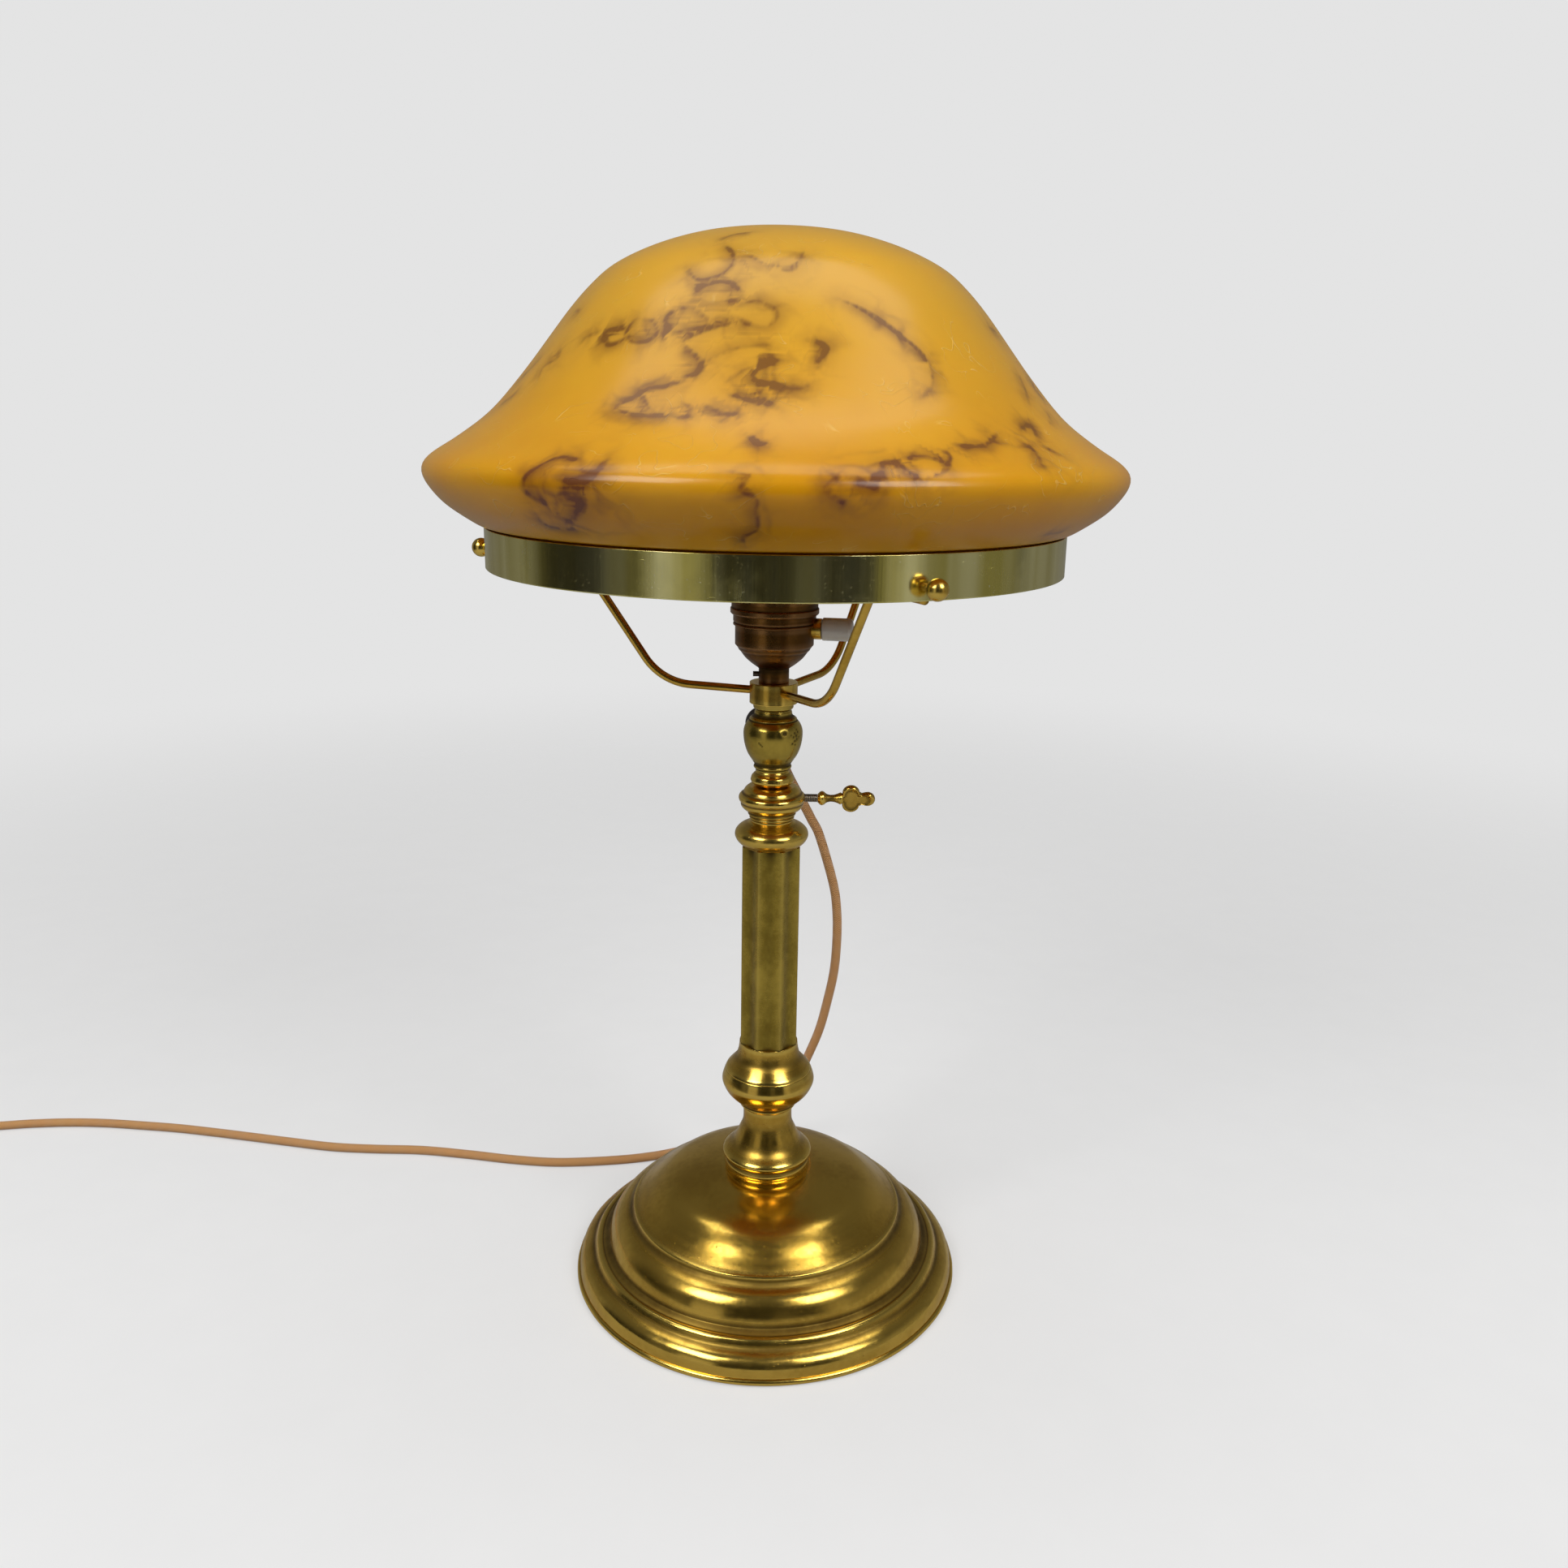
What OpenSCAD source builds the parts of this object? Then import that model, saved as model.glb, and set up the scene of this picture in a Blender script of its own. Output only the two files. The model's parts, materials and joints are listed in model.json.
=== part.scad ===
// Desk lamp: weighted brass base, fluted column, sliding stem with a clamp key,
// three-arm gallery ring and a flared glass shade.
// Millimetres, +Z up, origin at the middle of the underside of the base.

/* [Base] */
// Outside radius of the base at its rolled rim
base_r = 97; // [85:0.1:116]
// Height of the seat on top of the base
base_h = 56; // [48:0.5:68]
// Thickness of the spun base wall
base_wall = 1.5; // [1:0.1:2]
// Thickness of the felt under the base
felt_t = 1.8; // [1:0.1:3]
// Thickness of the iron weight in the base
weight_t = 11.2; // [9:0.1:12]

/* [Column] */
// Height of the bell-shaped foot under the knop
foot_h = 33.8; // [28:0.1:40]
// Height of the knop
knop_h = 35; // [30:0.5:42]
// Largest radius of the knop
knop_r = 22.9; // [20:0.1:27.5]
// Length of the fluted tube
column_h = 101.8; // [85:0.1:122]
// Radius of the fluted tube over its ribs
column_r = 14.7; // [13.8:0.1:15.4]
// Number of flutes
flutes = 8; // [6:1:12]
// Depth of each flute
flute_depth = 1.9; // [0.8:0.1:2.2]
// Height of the flange on top of the fluted tube
flange_h = 11.9; // [10:0.1:14]
// Largest radius of the flange
flange_r = 17.4; // [16:0.1:20.8]
// Height of the clamp collar
collar_h = 17.3; // [15:0.1:21]
// Largest radius of the clamp collar
collar_r = 15.8; // [14:0.1:19]

/* [Stem] */
// Radius of the sliding stem tube
stem_r = 6.5; // [5.6:0.1:6.8]
// Bore radius of the stem tube
stem_bore = 5; // [4.3:0.1:5.2]
// Length of the stem tube
stem_len = 166; // [140:1:170]
// Height of the stop bead under the ball
bead_h = 7.2; // [6:0.1:9]
// Largest radius of the ball
ball_r = 13.8; // [12.5:0.1:16.5]
// Height of the ball with its necks
ball_h = 28.4; // [25:0.1:34]
// Height of the spacer ring above the ball
spacer_h = 3.8; // [3:0.1:5]
// Radius of the hub that holds the arms
hub_r = 11.1; // [9.5:0.1:13.3]
// Height of the hub
hub_h = 9.6; // [8:0.1:11.5]

/* [Clamp key] */
// Radius of the clamp screw
clamp_r = 2; // [1.6:0.1:2.3]
// Distance from the lamp's axis to the foot of the key
key_x = 21.5; // [20.5:0.1:26]
// Height of the clover plate
key_w = 14.4; // [12:0.1:17.4]
// Thickness of the clover plate
key_t = 3; // [2.4:0.1:3.6]

/* [Lampholder] */
// Radius of the lampholder's cap
holder_r = 18; // [17.6:0.1:21.6]
// Height of the lampholder's cap
cap_h = 26.5; // [24:0.1:30]
// Height of the outer sleeve above the cap
sleeve_h = 28; // [24:0.5:34]
// Inner radius of the threaded lamp shell
shell_r = 13.6; // [13.4:0.1:14]
// Radius of the switch knob
knob_r = 5.2; // [4.4:0.1:6]
// Length of the switch knob
knob_len = 14; // [11:0.5:17]
// Direction of the switch knob, in degrees from +X
knob_turn = -8; // [-20:1:20]

/* [Bulb] */
// Largest radius of the bulb's glass
bulb_r = 30; // [25:0.5:36]
// Length of the bulb over its cap
bulb_len = 105; // [90:1:120]

/* [Gallery] */
// Outside radius of the gallery ring
ring_r = 127.4; // [108:0.1:138]
// Height of the gallery ring
ring_h = 17.3; // [14.5:0.1:20.7]
// Wall of the gallery ring
ring_wall = 1.2; // [1:0.1:1.8]
// Width of the seat inside the ring
lip_w = 10; // [7:0.5:12]
// Height of the ring's lower edge above the arms' roots
ring_rise = 57; // [48:0.5:66]
// Diameter of the arms
arm_d = 3.7; // [3:0.1:4]
// Distance from the axis to each arm's lower bend
arm_reach = 52; // [44:0.5:60]
// Direction of the first arm, in degrees from +X
arm_turn = -63.5; // [-75:0.5:-50]
// Radius of the ball heads on the shade screws
head_r = 4.3; // [3.5:0.1:4.8]

/* [Shade] */
// Radius of the shade at its rim
shade_r = 152; // [142:0.5:182]
// Height of the shade's crown above its rim
shade_rise = 98.6; // [82:0.1:118]
// Height of the shade's rim above the top of the ring
shade_drop = 24.2; // [20:0.1:29]
// Thickness of the glass
glass_t = 3.5; // [2.8:0.1:4.2]

/* [Cord] */
// Diameter of the cord
cord_d = 5; // [4:0.1:5]
// Direction of the cord bush, in degrees from +X
bush_turn = 106; // [98:1:112]
// Radius of the cord bush
bush_r = 8; // [7:0.1:9]

/* [Hidden] */
$fn = 96;

// Clearances
fit = 0.05;    // radial running clearance of one piece in another
apart = 0.3;   // gap between curved faces of different pieces

// Heights of the stack, from the table up
foot_z = base_h;
knop_z = foot_z + foot_h;
column_z = knop_z + knop_h;
flange_z = column_z + column_h;
collar_z = flange_z + flange_h;
bead_z = collar_z + collar_h + apart;
ball_z = bead_z + bead_h;
spacer_z = ball_z + ball_h;
hub_z = spacer_z + spacer_h;
holder_z = hub_z + hub_h;
sleeve_z = holder_z + cap_h;
arm_z = hub_z + hub_h * 0.6;
ring_z = arm_z + ring_rise;
ring_top = ring_z + ring_h;
rim_z = ring_top + shade_drop;
crown_z = rim_z + shade_rise;

// Bolted base
rod_r = 4;
nut_af = 13;
nut_h = 6.5;
washer_r = 10;
washer_t = 1.6;
rod_grip = 7;                     // how far the rod goes into the knop
washer_z = felt_t + nut_h + 0.6;
weight_r = base_r - 6;
rim_r = 1.6;                      // radius of the rolled rim's bead

// Sliding stem
guide_wall = 2;
guide_bore = stem_r + fit;
guide_r = guide_bore + guide_wall;
guide_z = knop_z + rod_grip + 1.5;
clamp_z = collar_z + collar_h * 0.65;
guide_top = clamp_z - clamp_r - 2.5;
stem_top = ball_z + 6;
stem_z = stem_top - stem_len;
knop_seam = knop_z + knop_h * 0.58;

// Nipple that carries the hub and the lampholder
nipple_r = 5;
nipple_bore = 3.5;
nipple_top = holder_z + 6.5;
cord_z = ball_z + ball_h * 0.63;
bush_face = 24;

// Gallery and shade
lip_z = ring_z + 2.2;
lip_t = 1;
neck_r = ring_r - ring_wall - 2;
screw_r = 1.5;
screw_z = ring_z + 5;
screw_end = ring_r + 3.1;
arm_turns = [arm_turn, arm_turn + 120, arm_turn + 240];

// Lampholder and bulb
cap_wall = 1.2;
core_z = sleeve_z - 8;
core_top = sleeve_z + 5;
knob_z = sleeve_z - 1.3;
spindle_r = 2.5;
stub_r = 4.8;
knob_x = holder_r + 3.9;
shell_wall = 0.5;
contact_top = core_top + 2;
bulb_z = contact_top + apart;
bulb_cap_r = shell_r - 0.6;

// The cord's route from the strain relief to the coil, and where the coil lies
cord_r = cord_d / 2;
route_drawn = [
    [-2, 47, 268], [-1, 55, 263.5], [3.5, 61.5, 254], [8, 65, 242.5], [16.5, 69, 225.5],
    [20.5, 70, 217.5], [25, 71.5, 208], [33, 76, 180], [35.5, 77.5, 163], [36, 79.5, 145],
    [35, 82, 126], [32, 86, 106.5], [28, 90.5, 86.5], [22, 96, 67], [15, 102, 46.5],
    [7.5, 107, 28], [-3, 110.5, 12.5], [-17, 110, 4.5], [-32, 106.5, 2.5], [-48, 100, 2.5],
    [-66, 92.5, 2.5], [-88.5, 87, 2.5], [-121, 83.5, 2.5], [-148, 85.5, 2.5], [-174.5, 90, 2.5],
    [-204, 94, 2.5], [-233, 94.5, 2.5], [-257.5, 96, 2.5], [-283, 100.5, 2.5], [-309, 105.5, 2.5],
    [-333, 110, 2.5], [-357, 114, 2.5], [-380, 116.5, 2.5], [-403, 118.5, 2.5],
    [-425, 118.5, 2.5], [-446.5, 116.5, 2.5], [-463.5, 113.5, 2.5], [-480, 111.5, 2.5],
    [-497, 110.5, 2.5]];
// beside a wider base the cord is laid further back; it comes home again before the coil
lay_base_r = 97;
lay_top_z = 215;
lay_home_x = -460;
lay_back = max(0, base_r - lay_base_r);
function lay_share(p) = min(1, (lay_top_z - min(p[2], lay_top_z)) / 100,
                            max(0, (p[0] - lay_home_x) / 200));
route = [for (p = route_drawn) [p[0], p[1] + lay_back * lay_share(p), p[2]]];
coil_at = [-500, 73];
coil_mid = 28;                    // radius at the middle of the turns
coil_wide = 3;                    // turns side by side
coil_high = 2;                    // turns on top of each other
coil_out = coil_mid + coil_wide * cord_d / 2;
tail_len = 30;
tail_x = coil_at[0] - coil_out + cord_r;
plug_z = (coil_high - 0.5) * cord_d;
plug_relief_len = 22;
plug_len = 35;
plug_w = 26;
plug_t = 14;
pin_len = 19;
pin_gap = 19;
pin_r = 2;

brass = [0.72, 0.56, 0.20];
old_brass = [0.47, 0.38, 0.13];
bright_brass = [0.66, 0.64, 0.36];
bronze = [0.33, 0.20, 0.07];
iron = [0.22, 0.22, 0.23];
porcelain = [0.92, 0.90, 0.84];
bakelite = [0.10, 0.05, 0.03];
textile = [0.80, 0.55, 0.33];

// ---- Helpers ----

function at(p, i) = p[max(0, min(len(p) - 1, i))];
function unit(v) = v / norm(v);
function last(p) = p[len(p) - 1];

// A smooth curve through the points p, with n steps in each span
function curve(p, n = 4) = concat(
    [for (i = [0:len(p) - 2], j = [0:n - 1])
        let (t = j / n, a = at(p, i - 1), b = p[i], c = p[i + 1], d = at(p, i + 2))
        (2 * b + (c - a) * t + (2 * a - 5 * b + 4 * c - d) * t * t
            + (3 * b - a - 3 * c + d) * t * t * t) / 2],
    [last(p)]);

// The curve p moved by t to its right-hand side
function inset(p, t) = [for (i = [0:len(p) - 1])
    let (d = unit(at(p, i + 1) - at(p, i - 1))) p[i] + t * [d[1], -d[0]]];

// An arc of radius r about c from angle a to angle b
function arc(c, r, a, b, n = 8) = [for (i = [0:n])
    let (w = a + (b - a) * i / n) c + r * [cos(w), sin(w)]];

// The corner at b of a path a, b, c, rounded to radius r
function corner(a, b, c, r, n = 8) =
    let (u = unit(a - b), v = unit(c - b), half = acos(u * v) / 2)
    let (o = b + unit(u + v) * r / sin(half), turn = 180 - 2 * half)
    let (s = b + u * r / tan(half) - o, e = b + v * r / tan(half) - o)
    [for (i = [0:n]) let (w = turn * i / n)
        o + (s * sin(turn - w) + e * sin(w)) / sin(turn)];

// Direction of a path at its point i, and a side vector carried along it
function heading(p, i) = unit(at(p, i + 1) - at(p, i - 1));
function level(s, d) = unit(s - (s * d) * d);

// A round tube of radius r swept along the points p
module sweep(p, r, sides) {
    first = level([0.3, 0.2, 1], heading(p, 0));
    frames = [for (i = 0, s = first; i < len(p);
        i = i + 1, s = i < len(p) ? level(s, heading(p, i)) : s) s];
    rings = [for (i = [0:len(p) - 1], k = [0:sides - 1])
        let (w = 360 * k / sides, s = frames[i])
        p[i] + r * (cos(w) * s + sin(w) * cross(heading(p, i), s))];
    n = sides;
    faces = concat(
        [[for (k = [0:n - 1]) k]],
        [for (i = [0:len(p) - 2], k = [0:n - 1])
            [i * n + k, (i + 1) * n + k, (i + 1) * n + (k + 1) % n]],
        [for (i = [0:len(p) - 2], k = [0:n - 1])
            [i * n + k, (i + 1) * n + (k + 1) % n, i * n + (k + 1) % n]],
        [[for (k = [n - 1:-1:0]) (len(p) - 1) * n + k]]);
    polyhedron(rings, faces);
}

// A turned piece from its outline of [radius, height] pairs, with a straight bore
module turned(outline, bore) {
    rotate_extrude()
        polygon(concat(outline, [[bore, last(outline)[1]], [bore, outline[0][1]]]));
}

// Turns a child made along +Z to the direction d
module orient(d) {
    rotate([0, acos(d[2]), atan2(d[1], d[0])])
        children();
}

// Places a child made along +X so that it points out from the axis at angle a
module spoke(a, z) {
    translate([0, 0, z])
        rotate([0, 0, a])
            children();
}

// A rod of radius r along +X from x0 to x1
module rod(x0, x1, r) {
    translate([x0, 0, 0])
        rotate([0, 90, 0])
            cylinder(h = x1 - x0, r = r);
}

// ---- Base ----

module felt_pad() {
    color([0.16, 0.22, 0.15])
        cylinder(h = felt_t, r = base_r - 3.9);
}

module base_weight() {
    color(iron)
        difference() {
            rotate_extrude()
                polygon([[0, felt_t], [weight_r, felt_t], [weight_r, felt_t + weight_t * 0.45],
                    [weight_r - 7, felt_t + weight_t], [0, felt_t + weight_t]]);
            translate([0, 0, felt_t - 1])
                cylinder(h = washer_z + washer_t - felt_t + 1, r = washer_r + 2);
            cylinder(h = base_h, r = rod_r + apart);
        }
}

// Outline of the base from the seat down to the rolled rim
base_outline = concat(
    curve([[22, base_h], [31, base_h - 1.4], [40, base_h - 3.3], [49, base_h - 6.2],
        [55, base_h - 9.8], [61, base_h - 14.8]]),
    [[base_r - 30.8, base_h - 19], [base_r - 29.5, base_h - 19.6], [base_r - 29, base_h - 21.6]],
    curve([[base_r - 27.5, base_h - 23.3], [base_r - 23.5, base_h - 25.4],
        [base_r - 20.4, base_h - 28.4], [base_r - 18.2, base_h - 32.4],
        [base_r - 16.6, base_h - 37.5]], 3),
    arc([base_r - 12.4, base_h - 41], 2.2, 120, 20, 5),
    curve([[base_r - 9, base_h - 42.6], [base_r - 5, base_h - 44.6], [base_r - 2.6, base_h - 47.4],
        [base_r - 1.6, base_h - 51.4]], 3));

module base_shell() {
    inner = inset(base_outline, base_wall);
    color(brass)
        rotate_extrude()
            union() {
                polygon(concat([[rod_r + apart, base_h]], base_outline,
                    [[base_r - 1.4, rim_r], [base_r - 1.4 - base_wall, rim_r]],
                    [for (i = [len(inner) - 1:-1:0]) inner[i]],
                    [[rod_r + apart, base_h - base_wall]]));
                translate([base_r - rim_r, rim_r + apart])
                    circle(r = rim_r);
            }
}

module base_washer() {
    color(iron)
        translate([0, 0, washer_z])
            difference() {
                cylinder(h = washer_t, r = washer_r);
                translate([0, 0, -1])
                    cylinder(h = washer_t + 2, r = rod_r + apart);
            }
}

module base_nut() {
    color(iron)
        translate([0, 0, washer_z - nut_h])
            difference() {
                cylinder(h = nut_h, r = nut_af / 2 / cos(30), $fn = 6);
                translate([0, 0, -1])
                    cylinder(h = nut_h + 2, r = rod_r + fit);
            }
}

module tie_rod() {
    color(iron)
        translate([0, 0, felt_t + 0.3])
            cylinder(h = knop_z + rod_grip - felt_t - 0.3, r = rod_r);
}

// ---- Column ----

module column_foot() {
    z = foot_z;
    color(brass)
        turned(concat(
            [[20.6, z]],
            curve([[20.8, z + 1.2], [21.4, z + 2.8], [21.2, z + 4.4], [20.6, z + 5.6]], 3),
            curve([[21.3, z + 6.2], [22.2, z + 7.4], [22.3, z + 8.8], [21.6, z + 10], [20.1, z + 11.3],
                [18.3, z + 12.8], [16.9, z + 14.5], [15.6, z + 17], [14.3, z + 20], [13.1, z + 22.6],
                [12.3, z + 25], [12.1, z + 27.4]], 3),
            [[12.1, z + foot_h]]), rod_r + fit);
}

// Outside of the knop: both halves are cut from it at the seam
knop_outline = let (z = knop_z, r = knop_r, h = knop_h) concat(
    [[r - 9.9, z]],
    arc([r - 9.7, z + 1.3], 0.9, -60, 60, 4),
    curve([[r - 8.6, z + 2.6], [r - 5.4, z + 5.4], [r - 2.5, z + 8.6], [r - 0.7, z + 12], [r, z + 15],
        [r - 1.2, z + 19.2]], 4),
    curve([[r - 2.2, z + 21.4], [r - 4.6, z + 24], [r - 6.9, z + h - 8.2], [r - 8.1, z + h - 4.4],
        [r - 8.6, z + h]], 3));

module knop_body() {
    rotate_extrude()
        polygon(concat([[0, knop_z]], knop_outline, [[0, knop_z + knop_h]]));
}

module knop_lower() {
    color(brass)
        difference() {
            knop_body();
            translate([0, 0, knop_seam])
                cylinder(h = knop_h, r = knop_r + 5);
            translate([0, 0, knop_z - 1])
                cylinder(h = knop_h, r = rod_r + fit);
            translate([0, 0, guide_z])
                cylinder(h = knop_h, r = guide_r + fit);
        }
}

module knop_upper() {
    color(brass)
        difference() {
            knop_body();
            translate([0, 0, knop_z - 1])
                cylinder(h = knop_seam - knop_z + 1, r = knop_r + 5);
            translate([0, 0, knop_z])
                cylinder(h = knop_h + 1, r = guide_r + fit);
        }
}

module guide_tube() {
    color(old_brass)
        translate([0, 0, guide_z])
            difference() {
                cylinder(h = guide_top - guide_z, r = guide_r);
                translate([0, 0, -1])
                    cylinder(h = column_h * 2, r = guide_bore);
            }
}

module fluted_tube() {
    mid = column_r - flute_depth / 2;
    steps = flutes * 12;
    color(old_brass)
        translate([0, 0, column_z])
            linear_extrude(height = column_h)
                difference() {
                    polygon([for (i = [0:steps - 1]) let (a = 360 * i / steps)
                        (mid - flute_depth / 2 * cos(flutes * (a + 90))) * [cos(a), sin(a)]]);
                    circle(r = guide_r + fit);
                }
}

module column_flange() {
    z = flange_z;
    r = flange_r;
    h = flange_h;
    color(brass)
        turned(concat(
            [[r - 3.4, z]],
            curve([[r - 3.2, z + 0.4], [r - 1.9, z + 1.6], [r - 0.7, z + 3], [r - 0.3, z + 4]], 3),
            curve([[r, z + 4.4], [r, z + 6.2], [r - 0.7, z + 7.8], [r - 2.6, z + 9.6],
                [r - 5.4, z + 10.8], [r - 7.2, z + h]], 3)), guide_r + fit);
}

module clamp_collar() {
    z = collar_z;
    r = collar_r;
    color(brass)
        difference() {
            turned(concat(
                [[r - 5.8, z], [r - 5.8, z + 1.2]],
                arc([r - 5.9, z + 2], 0.8, -70, 60, 4),
                arc([r - 5.3, z + 3.9], 0.9, -50, 50, 4),
                curve([[r - 4.4, z + 4.9], [r - 2.4, z + 6.2], [r - 1.1, z + 7.8], [r - 1, z + 9]], 3),
                arc([r - 2.4, z + 11.4], 2.4, -50, 65, 8),
                [[r - 1.9, z + 13.7]],
                curve([[r - 2.1, z + 14], [r - 2.7, z + 15.4], [r - 3.6, z + 16.4],
                    [r - 4.8, z + collar_h]], 2)), stem_r + fit + 0.01);
            translate([0, 0, z - 1])
                cylinder(h = guide_top - z + 1 + apart, r = guide_r + fit);
            translate([0, 0, clamp_z])
                rod(stem_r, r + 3, clamp_r + fit);
        }
}

module clamp_screw() {
    color(iron)
        translate([0, 0, clamp_z])
            rod(stem_r + apart, key_x, clamp_r);
}

module clamp_key() {
    lobe = key_w * 0.28;
    plate_x = key_x + 15.6;
    tip_r = lobe * 0.83;
    color(brass)
        translate([0, 0, clamp_z])
            union() {
                rotate([0, 90, 0])
                    rotate_extrude()
                        polygon(concat([[0, key_x], [2.2, key_x]],
                            arc([1.9, key_x + 2], 1.6, -70, 70, 6),
                            curve([[1.9, key_x + 4.6], [1.7, key_x + 7], [2, key_x + 9],
                                [2.6, key_x + 11]], 3),
                            [[0, key_x + 12]]));
                rotate([20, 0, 0])
                    translate([0, key_t / 2, 0])
                        rotate([90, 0, 0])
                            linear_extrude(height = key_t)
                                union() {
                                    translate([plate_x, key_w / 2 - lobe])
                                        circle(r = lobe);
                                    translate([plate_x, lobe - key_w / 2])
                                        circle(r = lobe);
                                    translate([plate_x + lobe * 2, 0])
                                        circle(r = tip_r);
                                    translate([key_x + 10, -tip_r * 0.85])
                                        square([plate_x - key_x - 10 + lobe * 2, tip_r * 1.7]);
                                }
            }
}

// ---- Stem ----

module stem_tube() {
    color(brass)
        translate([0, 0, stem_z])
            difference() {
                cylinder(h = stem_len, r = stem_r);
                translate([0, 0, -1])
                    cylinder(h = stem_len + 2, r = stem_bore);
            }
}

module stop_bead() {
    z = bead_z;
    h = bead_h;
    color(brass)
        turned(concat(
            [[stem_r + 1.3, z]],
            curve([[stem_r + 2, z + 0.3], [stem_r + 3.3, z + 1.4], [stem_r + 3.8, z + 2.8]], 3),
            curve([[stem_r + 3.6, z + 3.2], [stem_r + 3.2, z + 4.6], [stem_r + 1.8, z + h - 1.2],
                [stem_r + 1.1, z + h]], 3)), stem_r + fit);
}

// Outside of the ball with its two necks
ball_outline = let (z = ball_z, h = ball_h, m = ball_z + ball_h * 0.62, r = ball_r) concat(
    [[r - 5.8, z], [r - 5.8, z + 1]],
    arc([r - 5.6, z + 1.9], 0.8, -70, 70, 4),
    curve([[r - 5.4, z + 3], [r - 4, z + 5.2], [r - 1.9, z + 8.6], [r - 0.5, z + 13],
        [r, m], [r - 0.4, m + 3], [r - 1.6, m + 5.4], [r - 2.9, m + 6.8]], 4),
    [[r - 2.7, m + 7.1], [r - 3.2, m + 7.7]],
    curve([[r - 3.9, m + 8], [r - 4.9, m + 9], [r - 5.2, z + h]], 2));

module stem_ball() {
    wall = 2;
    color(old_brass)
        difference() {
            turned(ball_outline, 0);
            translate([0, 0, ball_z - 1])
                cylinder(h = stem_top - ball_z + 1 + apart, r = stem_r + fit);
            translate([0, 0, cord_z])
                sphere(r = ball_r - wall - 1);
            translate([0, 0, cord_z])
                cylinder(h = ball_h, r = nipple_r + fit);
            spoke(bush_turn, cord_z)
                rod(0, ball_r * 2, bush_r - 3);
        }
}

module spacer_ring() {
    z = spacer_z;
    h = spacer_h;
    color(old_brass)
        turned([[8.4, z], [8.2, z + 0.5], [9.3, z + 1.6], [9.5, z + h]], nipple_r + fit);
}

module stem_nipple() {
    z = spacer_z - 5;
    color(brass)
        translate([0, 0, z])
            difference() {
                cylinder(h = nipple_top - z, r = nipple_r);
                translate([0, 0, -1])
                    cylinder(h = nipple_top - z + 2, r = nipple_bore);
            }
}

// Round insulating bush on the back of the ball, with the cord's way through it
module cord_bush() {
    neck = ball_r - 1.5;
    color(bakelite)
        spoke(bush_turn, cord_z)
            difference() {
                union() {
                    rod(neck - 3, neck + 4, bush_r - 3 - fit);
                    rotate([0, 90, 0])
                        rotate_extrude()
                            polygon(concat([[0, ball_r + apart], [bush_r - 1, ball_r + apart]],
                                arc([bush_r - 3, bush_face - 3], 3, 0, 90, 6),
                                [[0, bush_face]]));
                }
                rod(0, bush_face + 5, cord_r + apart);
            }
}

// Two insulated wires from the bush through the nipple to the lampholder
module inner_leads() {
    lead_r = 0.9;
    lead_gap = 1.2;
    color([0.75, 0.2, 0.15])
        for (s = [-1, 1])
            rotate([0, 0, bush_turn])
                sweep(concat(
                    [[bush_face - 2, s * lead_gap, cord_z]],
                    corner([bush_face - 2, s * lead_gap, cord_z], [0, s * lead_gap, cord_z],
                        [0, s * lead_gap, core_z], 4, 5),
                    [[0, s * lead_gap, core_z - apart]]), lead_r, 8);
}

// ---- Gallery ----

module arm_hub() {
    color(brass)
        difference() {
            translate([0, 0, hub_z])
                cylinder(h = hub_h, r = hub_r);
            translate([0, 0, hub_z - 1])
                cylinder(h = hub_h + 2, r = nipple_r + fit);
            for (a = arm_turns)
                spoke(a, arm_z)
                    rod(hub_r - 3, hub_r + 2, arm_d / 2 + fit);
        }
}

module arm(a) {
    root = [hub_r - 2.8, 0, arm_z];
    start = [hub_r + 1, 0, arm_z];
    low = [arm_reach, 0, arm_z + 2.2];
    high = [ring_r - 39, 0, lip_z - arm_d / 2 - 0.1];
    end = [ring_r - ring_wall - apart, 0, high[2]];
    color(brass)
        rotate([0, 0, a])
            sweep(concat([root, start], corner(start, low, high, 27, 8), corner(low, high, end, 8, 6),
                [end]), arm_d / 2, 12);
}

module gallery_ring() {
    color(bright_brass)
        difference() {
            rotate_extrude()
                union() {
                    translate([ring_r - ring_wall, ring_z])
                        square([ring_wall, ring_h]);
                    translate([ring_r - ring_wall - lip_w, lip_z])
                        square([lip_w + ring_wall / 2, lip_t]);
                }
            for (a = arm_turns)
                spoke(a, screw_z)
                    rod(ring_r - 5, ring_r + 5, screw_r + fit);
        }
}

module shade_screw(a) {
    color(brass)
        spoke(a, screw_z)
            rod(neck_r + apart, screw_end, screw_r);
}

module screw_head(a) {
    dip = asin(2.4 / head_r) - 90;
    middle = screw_end - head_r * sin(dip);
    color(brass)
        spoke(a, screw_z)
            rotate([0, 90, 0])
                rotate_extrude()
                    polygon(concat([[0, screw_end]], arc([0, middle], head_r, dip, 88, 14),
                        [[0, middle + head_r]]));
}

// ---- Lampholder ----

// Cuts the switch's way into the lampholder's side
module switch_hole(r) {
    spoke(knob_turn, knob_z)
        rod(0, holder_r + 10, r);
}

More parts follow.
